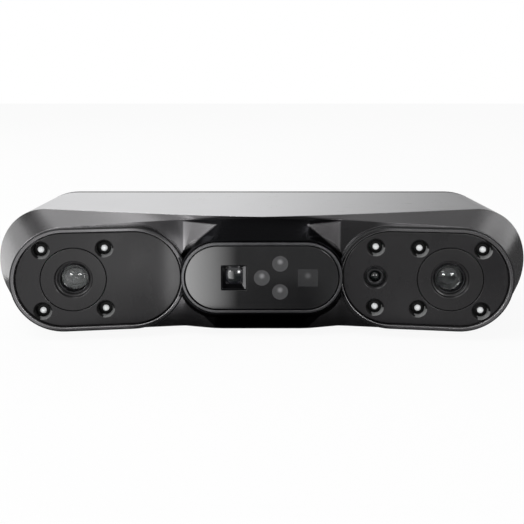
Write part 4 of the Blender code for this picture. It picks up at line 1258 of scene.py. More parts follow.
@dataclass
class WindowSizes:
    """Sizes of the window, its ring and the collar round it."""

    half: float = 0.0286
    radius: float = 0.01285
    ring_width: float = 0.0011
    ring_setback: float = 0.0048
    ring_depth: float = 0.002
    recess: float = 0.0004
    ledge: float = 0.0012
    collar_land: float = 0.0007
    collar_side_land: float = 0.00075
    collar_flare: float = 0.0013
    collar_rise: float = 0.0001
    collar_top: float = 0.0054
    collar_base: float = 0.0088
    aperture_half: float = 0.0045
    aperture_x: float = -0.0099
    aperture_corner: float = 0.0004
    laser_column: float = 0.00646
    laser_row: float = 0.0051
    laser_reach: float = 0.00283
    flood_x: float = 0.0163
    flood_width: float = 0.0071
    flood_height: float = 0.0063

    @property
    def laser_places(self) -> list[Pair]:
        """Where the three lasers stand."""
        return [(0.0, 0.0), (self.laser_column, self.laser_row), (self.laser_column, -self.laser_row)]

    def outline(self, inset: float) -> Growing:
        """The ring's outline drawn in by an inset, as a function of how much it is grown."""
        return Form.growing(self.half - inset, self.radius - inset)


@dataclass
class FrontCasing:
    """The cast front: a sloping shoulder, two pods that stand forward, and the window's collar."""

    shell: Envelope
    pods: list[Pod]
    window: WindowSizes
    middle_rise: float = 0.0026
    end_setback: float = 0.0012
    waist_setback: float = 0.0086
    middle_setback: float = 0.0059
    middle_half: float = 0.016
    waist_half: float = 0.028
    shoulder_side: float = 0.027
    shoulder_corner: float = 0.0203
    shoulder_middle: float = 0.0064
    shoulder_curve_share: float = 1.3
    lip: float = 0.031
    cavity_setback: float = 0.012
    cavity_end_inset: float = 0.0031
    cavity_inset: float = 0.0043
    rim_lip: float = 0.0003
    rim_depth: float = 0.0008
    rim_margin: float = 0.0004
    rim_skin: float = 0.0001

    def front_setback(self, x: float) -> float:
        """How far the bent face lies behind the foremost point, at a distance from the middle.

        Args:
            x: The place along the body.

        Returns:
            The setback.
        """
        reach = abs(x)
        if reach >= self.waist_half:
            share = (self.shell.face_half - reach) / (self.shell.face_half - self.waist_half)
            return self.end_setback + share * (self.waist_setback - self.end_setback)
        share = max(0.0, reach - self.middle_half) / (self.waist_half - self.middle_half)
        return self.middle_setback + share * (self.waist_setback - self.middle_setback)

    def shoulder_setback(self, x: float, z: float) -> float:
        """Depth of the shoulder line, where the sleeve's straight walls end.

        Args:
            x: The place along the body.
            z: The height from its middle.

        Returns:
            The setback.
        """
        straight = self.shell.half_length - self.shell.radius
        if abs(x) >= straight:
            share = min(1.0, (abs(x) - straight) / self.shell.radius)
            return self.shoulder_corner + share * (self.shoulder_side - self.shoulder_corner)
        if z < 0:
            return self.shoulder_corner
        share = (abs(x) / straight) ** self.shoulder_curve_share
        return self.shoulder_middle + share * (self.shoulder_corner - self.shoulder_middle)

    def face_ring(self) -> list[Point]:
        """Front edge of the casing, which rises to the top face in the middle.

        Returns:
            The ring's points.
        """
        shell = self.shell
        straight = shell.face_half - shell.face_radius
        ring = []
        for x, z in Form.stadium(shell.face_half, shell.face_radius, spans=FLAT_SPANS):
            if z > 0 and abs(x) < straight:
                z += self.middle_rise * (1 - abs(x) / straight)
            ring.append((x, shell.front + self.front_setback(x), shell.middle + z))
        return ring

    def shoulder_ring(self, inset: float = 0.0, back: float = 0.0) -> list[Point]:
        """The shoulder line round the body, inset into its wall and moved back.

        Args:
            inset: How far it is drawn into the wall.
            back: How far it is moved.

        Returns:
            The ring's points.
        """
        shell = self.shell
        outer = Form.stadium(shell.half_length, shell.radius, spans=FLAT_SPANS)
        inner = Form.stadium(shell.half_length - inset, shell.radius - inset, spans=FLAT_SPANS)
        ring = []
        for (x, z), (inner_x, inner_z) in zip(outer, inner):
            depth = shell.front + self.shoulder_setback(x, z) + back
            ring.append((inner_x, depth, shell.middle + inner_z))
        return ring

    def body_ring(self, y: float, inset: float = 0.0) -> list[Point]:
        """A flat section of the body at a depth, drawn into its wall by an inset."""
        outline = Form.stadium(self.shell.half_length - inset, self.shell.radius - inset, spans=FLAT_SPANS)
        return [(x, y, self.shell.middle + z) for x, z in outline]

    def collar(self) -> Mesh:
        """The collar's sloping solid.

        Returns:
            The mesh.
        """
        shell, window = self.shell, self.window
        top_half = window.half + window.collar_land
        base_half = top_half + window.collar_flare
        base_radius = shell.face_radius + window.collar_rise
        top, base = shell.front + window.collar_top, shell.front + window.collar_base
        stack = [
            (Form.stadium(top_half, window.radius + window.collar_side_land), top),
            (Form.stadium(base_half, base_radius), base),
            (Form.stadium(base_half, base_radius - shell.overrun), base + shell.overrun),
        ]
        return Form.moved(Form.layers(stack), shell.spot())

    def build(self) -> None:
        """Builds and dresses the casing."""
        shell, window = self.shell, self.window
        inset = shell.wall + shell.gap
        rings = [
            self.face_ring(),
            self.shoulder_ring(),
            self.shoulder_ring(inset=inset),
            self.body_ring(shell.front + self.lip, inset=inset),
        ]
        casing = Piece("casing_shell", Form.loft(rings, strip_caps=True))
        casing.join(self.collar())
        for pod in self.pods:
            raised = Form.slab(pod.outline(0.0), 0, pod.root, (pod.edge, 0.0))
            casing.join(Form.moved(raised, pod.frame))
        hollow = Form.stadium(shell.face_half - self.cavity_end_inset, shell.face_radius - self.cavity_inset)
        front, back = shell.front + self.cavity_setback, shell.front + self.lip + shell.overrun
        casing.cut(Form.moved(Form.bar(hollow, front, back), shell.spot()))
        for pod in self.pods:
            outline = pod.outline(pod.rim)
            pocket = Form.mouth(outline, 0, pod.plate_back + shell.gap, self.rim_lip, shell.overrun)
            through = pod.outline(pod.rim + pod.ledge)(0.0)
            opening = Form.bar(through, 0.0, self.cavity_setback + shell.overrun)
            casing.cut(Form.moved(pocket, pod.frame), Form.moved(opening, pod.frame))
        floor = shell.front + (window.ring_setback + window.ring_depth + shell.gap)
        seat = Form.bar(window.outline(-shell.gap)(0.0), shell.front, floor)
        through = window.outline(window.ring_width + window.ledge)(0.0)
        opening = Form.bar(through, shell.front, front + shell.overrun)
        casing.cut(Form.moved(seat, shell.spot()), Form.moved(opening, shell.spot()))
        grey = (0.125, 0.122, 0.126)
        # Grey metal, with black paint on the collar and painted shade on the brow, cheeks and belly.
        finish = CasingMetal(
            "casing_grey_satin", grey, 0.22, 0.8, rubbed=2.2, cloud=0.05, middle=shell.middle
        )
        # The rims get a painted dark reflection, and their inner lips a painted highlight line.
        patches = [(Finishes.RIM, self._on_rim), (Finishes.LIP, self._on_lip)]
        casing.dress(finish, Slot.CASING, ["front_casing"], patches=patches)

    def _pod_places(self, face: Face) -> list[Point]:
        """A face's depth behind each pod's rim plane, and its reach from the rim's two outlines.

        Args:
            face: A face of the casing.

        Returns:
            The depth and the two reaches for each pod.
        """
        places = []
        for pod in self.pods:
            x, depth, z = pod.frame.inverted() @ face.center
            reach = math.hypot(max(0.0, abs(x) - (pod.half - pod.radius)), z)
            places.append((depth, reach - (pod.radius - pod.rim), pod.radius - reach))
        return places

    def _on_rim(self, face: Face) -> bool:
        """Whether a face belongs to a pod's rim.

        Args:
            face: A face of the casing.

        Returns:
            True or false.
        """
        return any(
            depth < self.rim_depth and outside > -self.rim_margin and inside > -self.rim_skin
            for depth, outside, inside in self._pod_places(face)
        )

    def _on_lip(self, face: Face) -> bool:
        """Whether a face belongs to the rounded inner edge of a pod's rim."""
        lip, places = self.rim_lip, self._pod_places(face)
        return any(0 < depth < lip and abs(outside) < lip * 1.1 for depth, outside, _ in places)


@dataclass
class HousingSleeve:
    """The anodised sleeve, and the steel tripod socket in its underside."""

    shell: Envelope
    casing: FrontCasing
    bore: float = 0.003
    outer: float = 0.0048
    flange: float = 0.0062
    flange_thickness: float = 0.001
    socket_length: float = 0.009
    boss: float = 0.0075
    thread_pitch: float = 0.00127
    thread_depth: float = 0.00045
    edge: float = 0.00025
    edge_share: float = 0.3

    @property
    def socket_y(self) -> float:
        """Where the tripod socket stands."""
        return self.shell.front + self.casing.lip + self.shell.gap + self.boss

    @property
    def upright(self) -> Matrix:
        """Axes whose Y runs up the tripod socket from the underside."""
        return Matrix.Translation((0, self.socket_y, 0)) @ Matrix.Rotation(math.pi / 2, 4, "X")

    def build(self) -> None:
        """Builds and dresses the sleeve and the socket."""
        shell, casing = self.shell, self.casing
        back = shell.cover_front - shell.gap
        step = self.edge * self.edge_share
        rings = [
            casing.shoulder_ring(inset=self.edge, back=shell.gap),
            casing.shoulder_ring(inset=step, back=shell.gap + step),
            casing.shoulder_ring(back=shell.gap + self.edge),
            casing.body_ring(back - self.edge),
            casing.body_ring(back - step, inset=step),
            casing.body_ring(back, inset=self.edge),
            casing.body_ring(back, inset=shell.wall),
            casing.shoulder_ring(inset=shell.wall, back=shell.gap),
        ]
        sleeve = Piece("sleeve_shell", Form.tube(rings))
        boss = Form.bar(Form.circle(self.boss), shell.wall / 2, self.socket_length)
        sleeve.join(Form.moved(boss, self.upright))
        flange = Form.growing_circle(self.flange + shell.gap, ROUND_STEPS)
        seat = Form.mouth(flange, 0, self.flange_thickness + 2 * shell.gap, shell.gap, shell.overrun)
        well = Form.bar(Form.circle(self.outer + shell.gap), -shell.overrun, shell.middle)
        sleeve.cut(Form.moved(seat, self.upright), Form.moved(well, self.upright))
        sleeve.dress(Finishes.SLEEVE, Slot.SLEEVE, ["housing_sleeve"])
        self._build_socket()

    def _build_socket(self) -> None:
        """The steel socket, whose thread shows as rings in its bore."""
        gap, chamfer = self.shell.gap, self.shell.gap
        top = gap + self.socket_length
        flange_top = gap + self.flange_thickness
        profile = [
            (self.bore + chamfer, gap), (self.flange - chamfer, gap), (self.flange, gap + chamfer),
            (self.flange, flange_top), (self.outer, flange_top), (self.outer, top),
            (self.bore, top),
        ]
        turns = int((self.socket_length - 2 * chamfer) / self.thread_pitch)
        for turn in range(turns, 0, -1):
            crest = gap + chamfer + turn * self.thread_pitch
            root = crest - self.thread_pitch / 2
            profile += [(self.bore, crest), (self.bore + self.thread_depth, root)]
        profile.append((self.bore, gap + chamfer))
        socket = Piece("tripod_thread", Form.turned(profile), self.upright)
        socket.dress(Finishes.STEEL, Slot.STEEL, ["tripod_socket"])


@dataclass
class CameraPod:
    """The pieces of one pod: plate, bezel, camera lens and fill lamps."""

    pod: Pod
    bezel: float = 0.0112
    mouth: float = 0.0066
    throat: float = 0.0056
    rim_radius: float = 0.0052
    rim_recess: float = 0.0011
    head_radius: float = 0.007
    head_length: float = 0.0052
    thread_radius: float = 0.0059
    thread_length: float = 0.004
    glass_radius: float = 0.0045
    glass_thickness: float = 0.0012
    glass_crown: float = 0.0016
    glass_drop: float = 0.0004
    inner_crown: float = 0.0014
    iris_radius: float = 0.0019
    lamp_radius: float = 0.0013
    lamp_foot: float = 0.0022
    lamp_foot_height: float = 0.0007
    lamp_recess: float = 0.0004
    lamp_mouth: float = 0.0031
    lamp_bore: float = 0.0023
    lamp_taper: float = 0.001
    dish_knee_share: float = 0.45
    dish_bow: float = 0.0006
    colour_mouth: float = 0.0042
    colour_bore: float = 0.0036
    edge: float = 0.00035
    lip: float = 0.0002
    skin: float = 0.00003

    def build(self) -> None:
        """Builds and dresses every piece of the pod."""
        self._build_plate()
        self._build_bezel()
        self._build_lens()
        for number, (x, z) in enumerate(self.pod.lamps(), start=1):
            self._build_lamp(number, x, z)

    def _dished_hole(self, x: float, z: float, mouth: float, bore: float) -> Mesh:
        """A cutter for a hole with a dished mouth.

        Args:
            x: Its place along the pod.
            z: Its height.
            mouth: The mouth's radius at the plate's face.
            bore: The radius behind the dish.

        Returns:
            The mesh.
        """
        front, gap = self.pod.recess, self.pod.shell.gap
        slope = (mouth - bore) / self.lamp_taper
        steps = [
            (mouth + self.lip + slope * gap, front - gap), (mouth + self.lip / 2, front),
            (mouth - slope * self.dish_bow, front + self.lamp_taper * self.dish_knee_share),
            (bore, front + self.lamp_taper), (bore, self.pod.plate_back + gap),
        ]
        stack = [(Form.circle(radius, SMALL_ROUND_STEPS), depth) for radius, depth in steps]
        return Form.shifted(Form.layers(stack), x, z)

    def _build_plate(self) -> None:
        """The satin plate with its holes."""
        pod, gap = self.pod, self.pod.shell.gap
        slab = Form.slab(pod.outline(pod.rim + gap), pod.recess, pod.plate_back, (self.edge, 0.0))
        plate = Piece(f"{pod.side.word}_plate", slab, pod.frame)
        disc = Form.growing_circle(self.bezel + gap * 0.7, ROUND_STEPS)
        seat = Form.mouth(disc, pod.recess, pod.plate_back + gap, self.lip, gap)
        plate.cut(Form.shifted(seat, pod.camera_x))
        for x, z in pod.lamps():
            plate.cut(self._dished_hole(x, z, self.lamp_mouth, self.lamp_bore))
        if pod.side is Side.RIGHT:
            plate.cut(self._dished_hole(pod.colour_x, 0, self.colour_mouth, self.colour_bore))
        # Painted shade in the dishes, and a painted lit crescent on their lower right sides.
        patches = [(Finishes.DISH, self._in_dish), (Finishes.DUSTY_DISH, self._on_dusty_side)]
        plate.dress(Finishes.PLATE, Slot.PLATE, [f"{pod.side.word}_camera_plate"], patches=patches)

    def _in_dish(self, face: Face) -> bool:
        """Whether a face of the plate belongs to a lamp's dish.

        Args:
            face: A face of the plate.

        Returns:
            True or false.
        """
        x, depth, z = face.center
        if depth < self.pod.recess + self.skin:
            return False
        reach = self.lamp_mouth + self.lip
        return any(math.hypot(x - lamp_x, z - lamp_z) < reach for lamp_x, lamp_z in self.pod.lamps())

    def _on_dusty_side(self, face: Face) -> bool:
        """Whether a face lies on the lower right side of a dish, where a lit crescent is painted."""
        leaning = face.normal.z * 0.8 - face.normal.x * 0.6
        return leaning > 0.34 and face.center.y < self.pod.recess + self.lamp_taper and self._in_dish(face)

    def _build_bezel(self) -> None:
        """The disc round the lens, with a stepped throat."""
        pod = self.pod
        front, back, lip = pod.recess, pod.plate_back, self.lip
        profile = [
            (self.mouth + lip, front), (self.bezel - lip, front),
            (self.bezel - lip * 0.3, front + lip * 0.3), (self.bezel, front + lip),
            (self.bezel, back), (self.throat, back), (self.throat, back - pod.thickness * 0.3),
            (self.throat + lip, back - pod.thickness * 0.32),
            (self.throat + lip, back - pod.thickness * 0.5),
            (self.mouth - 2 * lip, back - pod.thickness * 0.55),
            (self.mouth - lip, front + 2 * lip), (self.mouth + lip * 0.3, front + lip * 0.3),
        ]
        mesh = Form.turned(profile, 2 * ROUND_STEPS)
        bezel = Piece(f"{pod.side.word}_bezel", mesh, pod.inner(pod.camera_x))
        bezel.dress(Finishes.BEZEL, Slot.PLATE, [f"{pod.side.word}_lens_bezel"])

    def _build_lens(self) -> None:
        """The lens barrel with its baffles, its domed front glass and the coated lens behind."""
        pod, gap = self.pod, self.pod.shell.gap
        place = pod.inner(pod.camera_x)
        word = pod.side.word
        front = pod.recess + self.rim_recess
        head = pod.plate_back + gap
        head_back = head + self.head_length
        foot = front + self.glass_drop + self.glass_crown
        seat = foot + self.glass_thickness + gap
        wall = self.glass_radius + gap
        bevel = (self.rim_radius - wall) / 2
        profile = [
            (wall, front + bevel), (wall + bevel * 0.6, front),
            (self.rim_radius - bevel * 0.6, front), (self.rim_radius, front + bevel * 0.6),
            (self.rim_radius, head), (self.head_radius, head), (self.head_radius, head_back),
            (self.thread_radius, head_back), (self.thread_radius, head_back + self.thread_length),
            (self.iris_radius, head_back + self.thread_length),
            (self.iris_radius, seat + self.glass_thickness), (wall - gap, seat), (wall, seat),
        ]
        barrel = Piece(f"{word}_barrel", Form.turned(profile), place)
        barrel.dress(Finishes.BLACK, Slot.BLACK, [f"{word}_lens_barrel"])
        back = foot + self.glass_thickness
        dome = Form.dome(self.glass_radius, foot, self.glass_crown, 12)
        profile = [*dome, (self.glass_radius, back), (0, back)]
        glass = Piece(f"{word}_front_glass", Form.turned(profile), place)
        glass.dress(Finishes.LENS, Slot.LENS, [f"{word}_lens_glass"])
        inner_foot = seat + self.glass_thickness
        inner_radius = self.glass_radius - 3 * gap
        dome = Form.dome(inner_radius, inner_foot, self.inner_crown, 12)
        rear = inner_foot + gap
        profile = [*dome, (inner_radius, rear), (0, rear)]
        inner = Piece(f"{word}_inner_glass", Form.turned(profile), place)
        inner.dress(Finishes.INNER_LENS, Slot.LENS)
        near, far = inner_radius + gap / 3, self.glass_radius - gap
        profile = [(near, rear), (near, inner_foot - gap / 2), (far, inner_foot - 2 * gap), (far, rear)]
        ring = Piece(f"{word}_lens_ring", Form.turned(profile), place)
        ring.dress(Finishes.LENS_RING, Slot.BLACK)

    def _build_lamp(self, number: int, x: float, z: float) -> None:
        """One fill lamp: a milky dome on a dark foot.

        Args:
            number: Its number in the pod.
            x: Its place along the pod.
            z: Its height.
        """
        pod, gap = self.pod, self.pod.shell.gap
        front = pod.recess + self.lamp_recess
        back = pod.plate_back
        foot = back - self.lamp_foot_height
        dome = Form.dome(self.lamp_radius, front + self.lamp_radius, self.lamp_radius, 9)
        profile = [
            *dome,
            (self.lamp_radius, foot - gap / 2), (self.lamp_foot - gap / 2, foot),
            (self.lamp_foot, foot + gap / 2), (self.lamp_foot, back), (0, back),
        ]
        word = pod.side.word
        lamp = Piece(f"{word}_fill_lamp_{number}", Form.turned(profile, SMALL_ROUND_STEPS), pod.inner(x, z))
        patches = [(Finishes.BAFFLE, lambda face: face.center.y > foot - gap)]
        lamp.dress(Finishes.LAMP, Slot.LAMP, [f"{word}_lamp_{number}"], patches=patches)


@dataclass
class ColourCamera:
    """The small colour camera in the right pod."""

    pod: Pod
    radius: float = 0.0031
    flange_radius: float = 0.0035
    length: float = 0.0072
    recess: float = 0.0009
    glass_radius: float = 0.0019
    glass_thickness: float = 0.0007
    glass_crown: float = 0.0011

    def build(self) -> None:
        """Builds and dresses the barrel and its glass."""
        gap = self.pod.shell.gap
        front = self.pod.recess + self.recess
        place = self.pod.inner(self.pod.colour_x)
        foot = front + gap + self.glass_crown
        back = foot + self.glass_thickness
        wall = self.glass_radius + gap / 2
        flange = self.pod.plate_back
        profile = [
            (wall, front + gap), (wall + gap, front + gap / 2), (wall + gap, front),
            (self.radius - gap, front), (self.radius, front + gap), (self.radius, flange - gap),
            (self.flange_radius, flange - gap), (self.flange_radius, flange),
            (self.radius, flange), (self.radius, front + self.length),
            (wall / 2, front + self.length), (wall / 2, back + gap), (wall, back + gap),
        ]
        barrel = Piece("colour_barrel", Form.turned(profile), place)
        barrel.dress(Finishes.BLACK, Slot.BLACK, ["colour_camera_barrel"])
        dome = Form.dome(self.glass_radius, foot, self.glass_crown, 10)
        profile = [*dome, (self.glass_radius, back), (0, back)]
        glass = Piece("colour_front_glass", Form.turned(profile), place)
        glass.dress(Finishes.SMALL_LENS, Slot.LENS, ["colour_camera_glass"])


@dataclass
class Window:
    """The ring, the dark window with its square opening, and the emitters that show in it."""

    shell: Envelope
    sizes: WindowSizes
    ring_edge: float = 0.00035
    ring_lip: float = 0.0002
    glass_edge: float = 0.0002
    glass_lip: float = 0.00015
    body_edge: float = 0.0002
    laser_radius: float = 0.003
    laser_length: float = 0.0105
    laser_setback: float = 0.0072
    laser_lens: float = 0.001
    laser_bevel: float = 0.0002
    laser_dip: float = 0.0004
    hood_wall: float = 0.0002
    hood_edge: float = 0.0001
    hood_depth: float = 0.0024
    hood_inner_half: float = 0.0031
    projector_half: float = 0.0049
    projector_length: float = 0.0105
    projector_setback: float = 0.0082
    projector_lens: float = 0.0034
    lens_thickness: float = 0.001
    lens_crown: float = 0.0008
    pocket: float = 0.0011
    flood_setback: float = 0.0072
    flood_length: float = 0.005
    flood_corner: float = 0.0003
    clear_share: float = 0.34
    faint_share: float = 0.12

    def build(self) -> None:
        """Builds and dresses every piece of the window."""
        self._build_ring()
        self._build_glass()
        for number, (x, z) in enumerate(self.sizes.laser_places, start=1):
            self._build_laser(number, x, z)
        self._build_projector()
        self._build_flood()

    def _build_ring(self) -> None:
        """The thin grey ring."""
        shell, sizes = self.shell, self.sizes
        front = shell.front + sizes.ring_setback
        slab = Form.slab(sizes.outline(0.0), front, front + sizes.ring_depth, (self.ring_edge, 0.0))
        ring = Piece("window_trim_ring", slab, shell.spot())
        inner = sizes.outline(sizes.ring_width)
        ring.cut(Form.mouth(inner, front, front + 2 * sizes.ring_depth, self.ring_lip, shell.gap))
        ring.dress(Finishes.RING, Slot.CASING, ["window_ring"])

    def _build_glass(self) -> None:
        """The dark glass, in the row frame's axes so that its apertures are too."""
        shell, sizes = self.shell, self.sizes
        front = shell.front + sizes.ring_setback + sizes.recess
        back = shell.front + sizes.ring_setback + sizes.ring_depth
        outline = sizes.outline(sizes.ring_width + shell.gap)
        slab = Form.slab(outline, front, back, (self.glass_edge, 0.0))
        glass = Piece("dark_window", Form.moved(slab, shell.spot()))
        square = self._square(sizes.aperture_half)
        opening = Form.mouth(square, front, back + shell.overrun, self.glass_lip, shell.overrun)
        glass.cut(Form.moved(opening, shell.spot(sizes.aperture_x)))
        apertures = []
        for x, z in sizes.laser_places:
            apertures.append(Aperture(x, shell.middle + z, sizes.laser_reach, self.clear_share))
        half_width, half_height = sizes.flood_width / 2, sizes.flood_height / 2
        apertures.append(Aperture(sizes.flood_x, shell.middle, half_height, self.faint_share, half_width))
        black = (0.005, 0.005, 0.0055)
        finish = SmokedWindow("window_smoked_glass", black, 0.13, specular=0.6, apertures=tuple(apertures))
        glass.dress(finish, Slot.WINDOW, ["projector_window"])

    def _square(self, half: float) -> Growing:
        """A square with round corners, as a function of how much it is grown."""
        return Form.growing_rectangle((half, half), self.sizes.aperture_corner)

    def _build_laser(self, number: int, x: float, z: float) -> None:
        """One line laser, with a small lens in its grey face.

        Args:
            number: Its number.
            x: Its place along the body.
            z: Its height from the middle.
        """
        front = self.shell.front + self.laser_setback
        back = front + self.laser_length
        lens, radius, bevel = self.laser_lens, self.laser_radius, self.laser_bevel
        floor = front + self.laser_dip
        profile = [
            (0, floor - lens * 0.45), (lens * 0.5, floor - lens * 0.38),
            (lens * 0.85, floor - lens * 0.15), (lens, floor), (lens * 1.5, floor),
            (lens * 1.8, front + bevel / 2), (radius - 2 * bevel, front), (radius, front + bevel),
            (radius, back), (0, back),
        ]
        laser = Piece(f"line_laser_{number}", Form.turned(profile, SMALL_ROUND_STEPS), self.shell.spot(x, z))
        patches = [(Finishes.LAMP, lambda face: math.hypot(face.center.x, face.center.z) < lens * 0.6)]
        laser.dress(Finishes.EMITTER_FACE, Slot.BLACK, [f"laser_module_{number}"], patches=patches)

    def _build_projector(self) -> None:
        """The pattern projector: a square hood that narrows to its lens."""
        shell, sizes = self.shell, self.sizes
        gap, place = shell.gap, shell.spot(sizes.aperture_x)
        front = shell.front + self.projector_setback
        back = front + self.projector_length
        slab = Form.slab(self._square(self.projector_half), front, back, (self.body_edge, 0.0))
        body = Piece("projector_body", slab, place)
        floor = front + self.pocket
        body.cut(Form.bar(Form.circle(self.projector_lens + gap), front - gap, floor))
        body.dress(Finishes.BLACK, Slot.BLACK, ["pattern_projector"])
        dome = Form.dome(self.projector_lens, floor - gap - self.lens_thickness, self.lens_crown, 10)
        profile = [*dome, (self.projector_lens, floor - gap), (0, floor - gap)]
        lens = Piece("projector_front_glass", Form.turned(profile), place)
        lens.dress(Finishes.SMALL_LENS, Slot.LENS, ["projector_lens"])
        hood_back = front - gap / 2
        hood_front = hood_back - self.hood_depth
        outer = sizes.aperture_half - gap / 2
        slab = Form.slab(self._square(outer), hood_front, hood_back, (self.hood_edge, 0.0))
        hood = Piece("projector_hood", slab, place)
        wide = self._square(outer - self.hood_wall)(0.0)
        narrow = self._square(self.hood_inner_half)(0.0)
        stack = [(wide, hood_front - gap), (wide, hood_front), (narrow, hood_back - gap)]
        hood.cut(Form.layers([*stack, (narrow, hood_back + gap)]))
        hood.dress(Finishes.HOOD, Slot.BLACK, patches=[(Finishes.PALE_WALL, self._on_lit_wall)])

    def _on_lit_wall(self, face: Face) -> bool:
        """Whether a face of the hood belongs to its right-hand inner wall, which is painted pale as if lit.
        """
        return face.normal.x < -0.3 and abs(face.center.x) < self.sizes.aperture_half - self.shell.gap

    def _build_flood(self) -> None:
        """The infrared flood light, a potted square."""
        sizes = self.sizes
        front = self.shell.front + self.flood_setback
        half = (sizes.flood_width / 2, sizes.flood_height / 2)
        outline = Form.growing_rectangle(half, self.flood_corner)
        slab = Form.slab(outline, front, front + self.flood_length, (self.body_edge, 0.0))
        package = Piece("flood_package", slab, self.shell.spot(sizes.flood_x))
        package.dress(Finishes.EMITTER_FACE, Slot.BOARD, ["infrared_flood_light"])


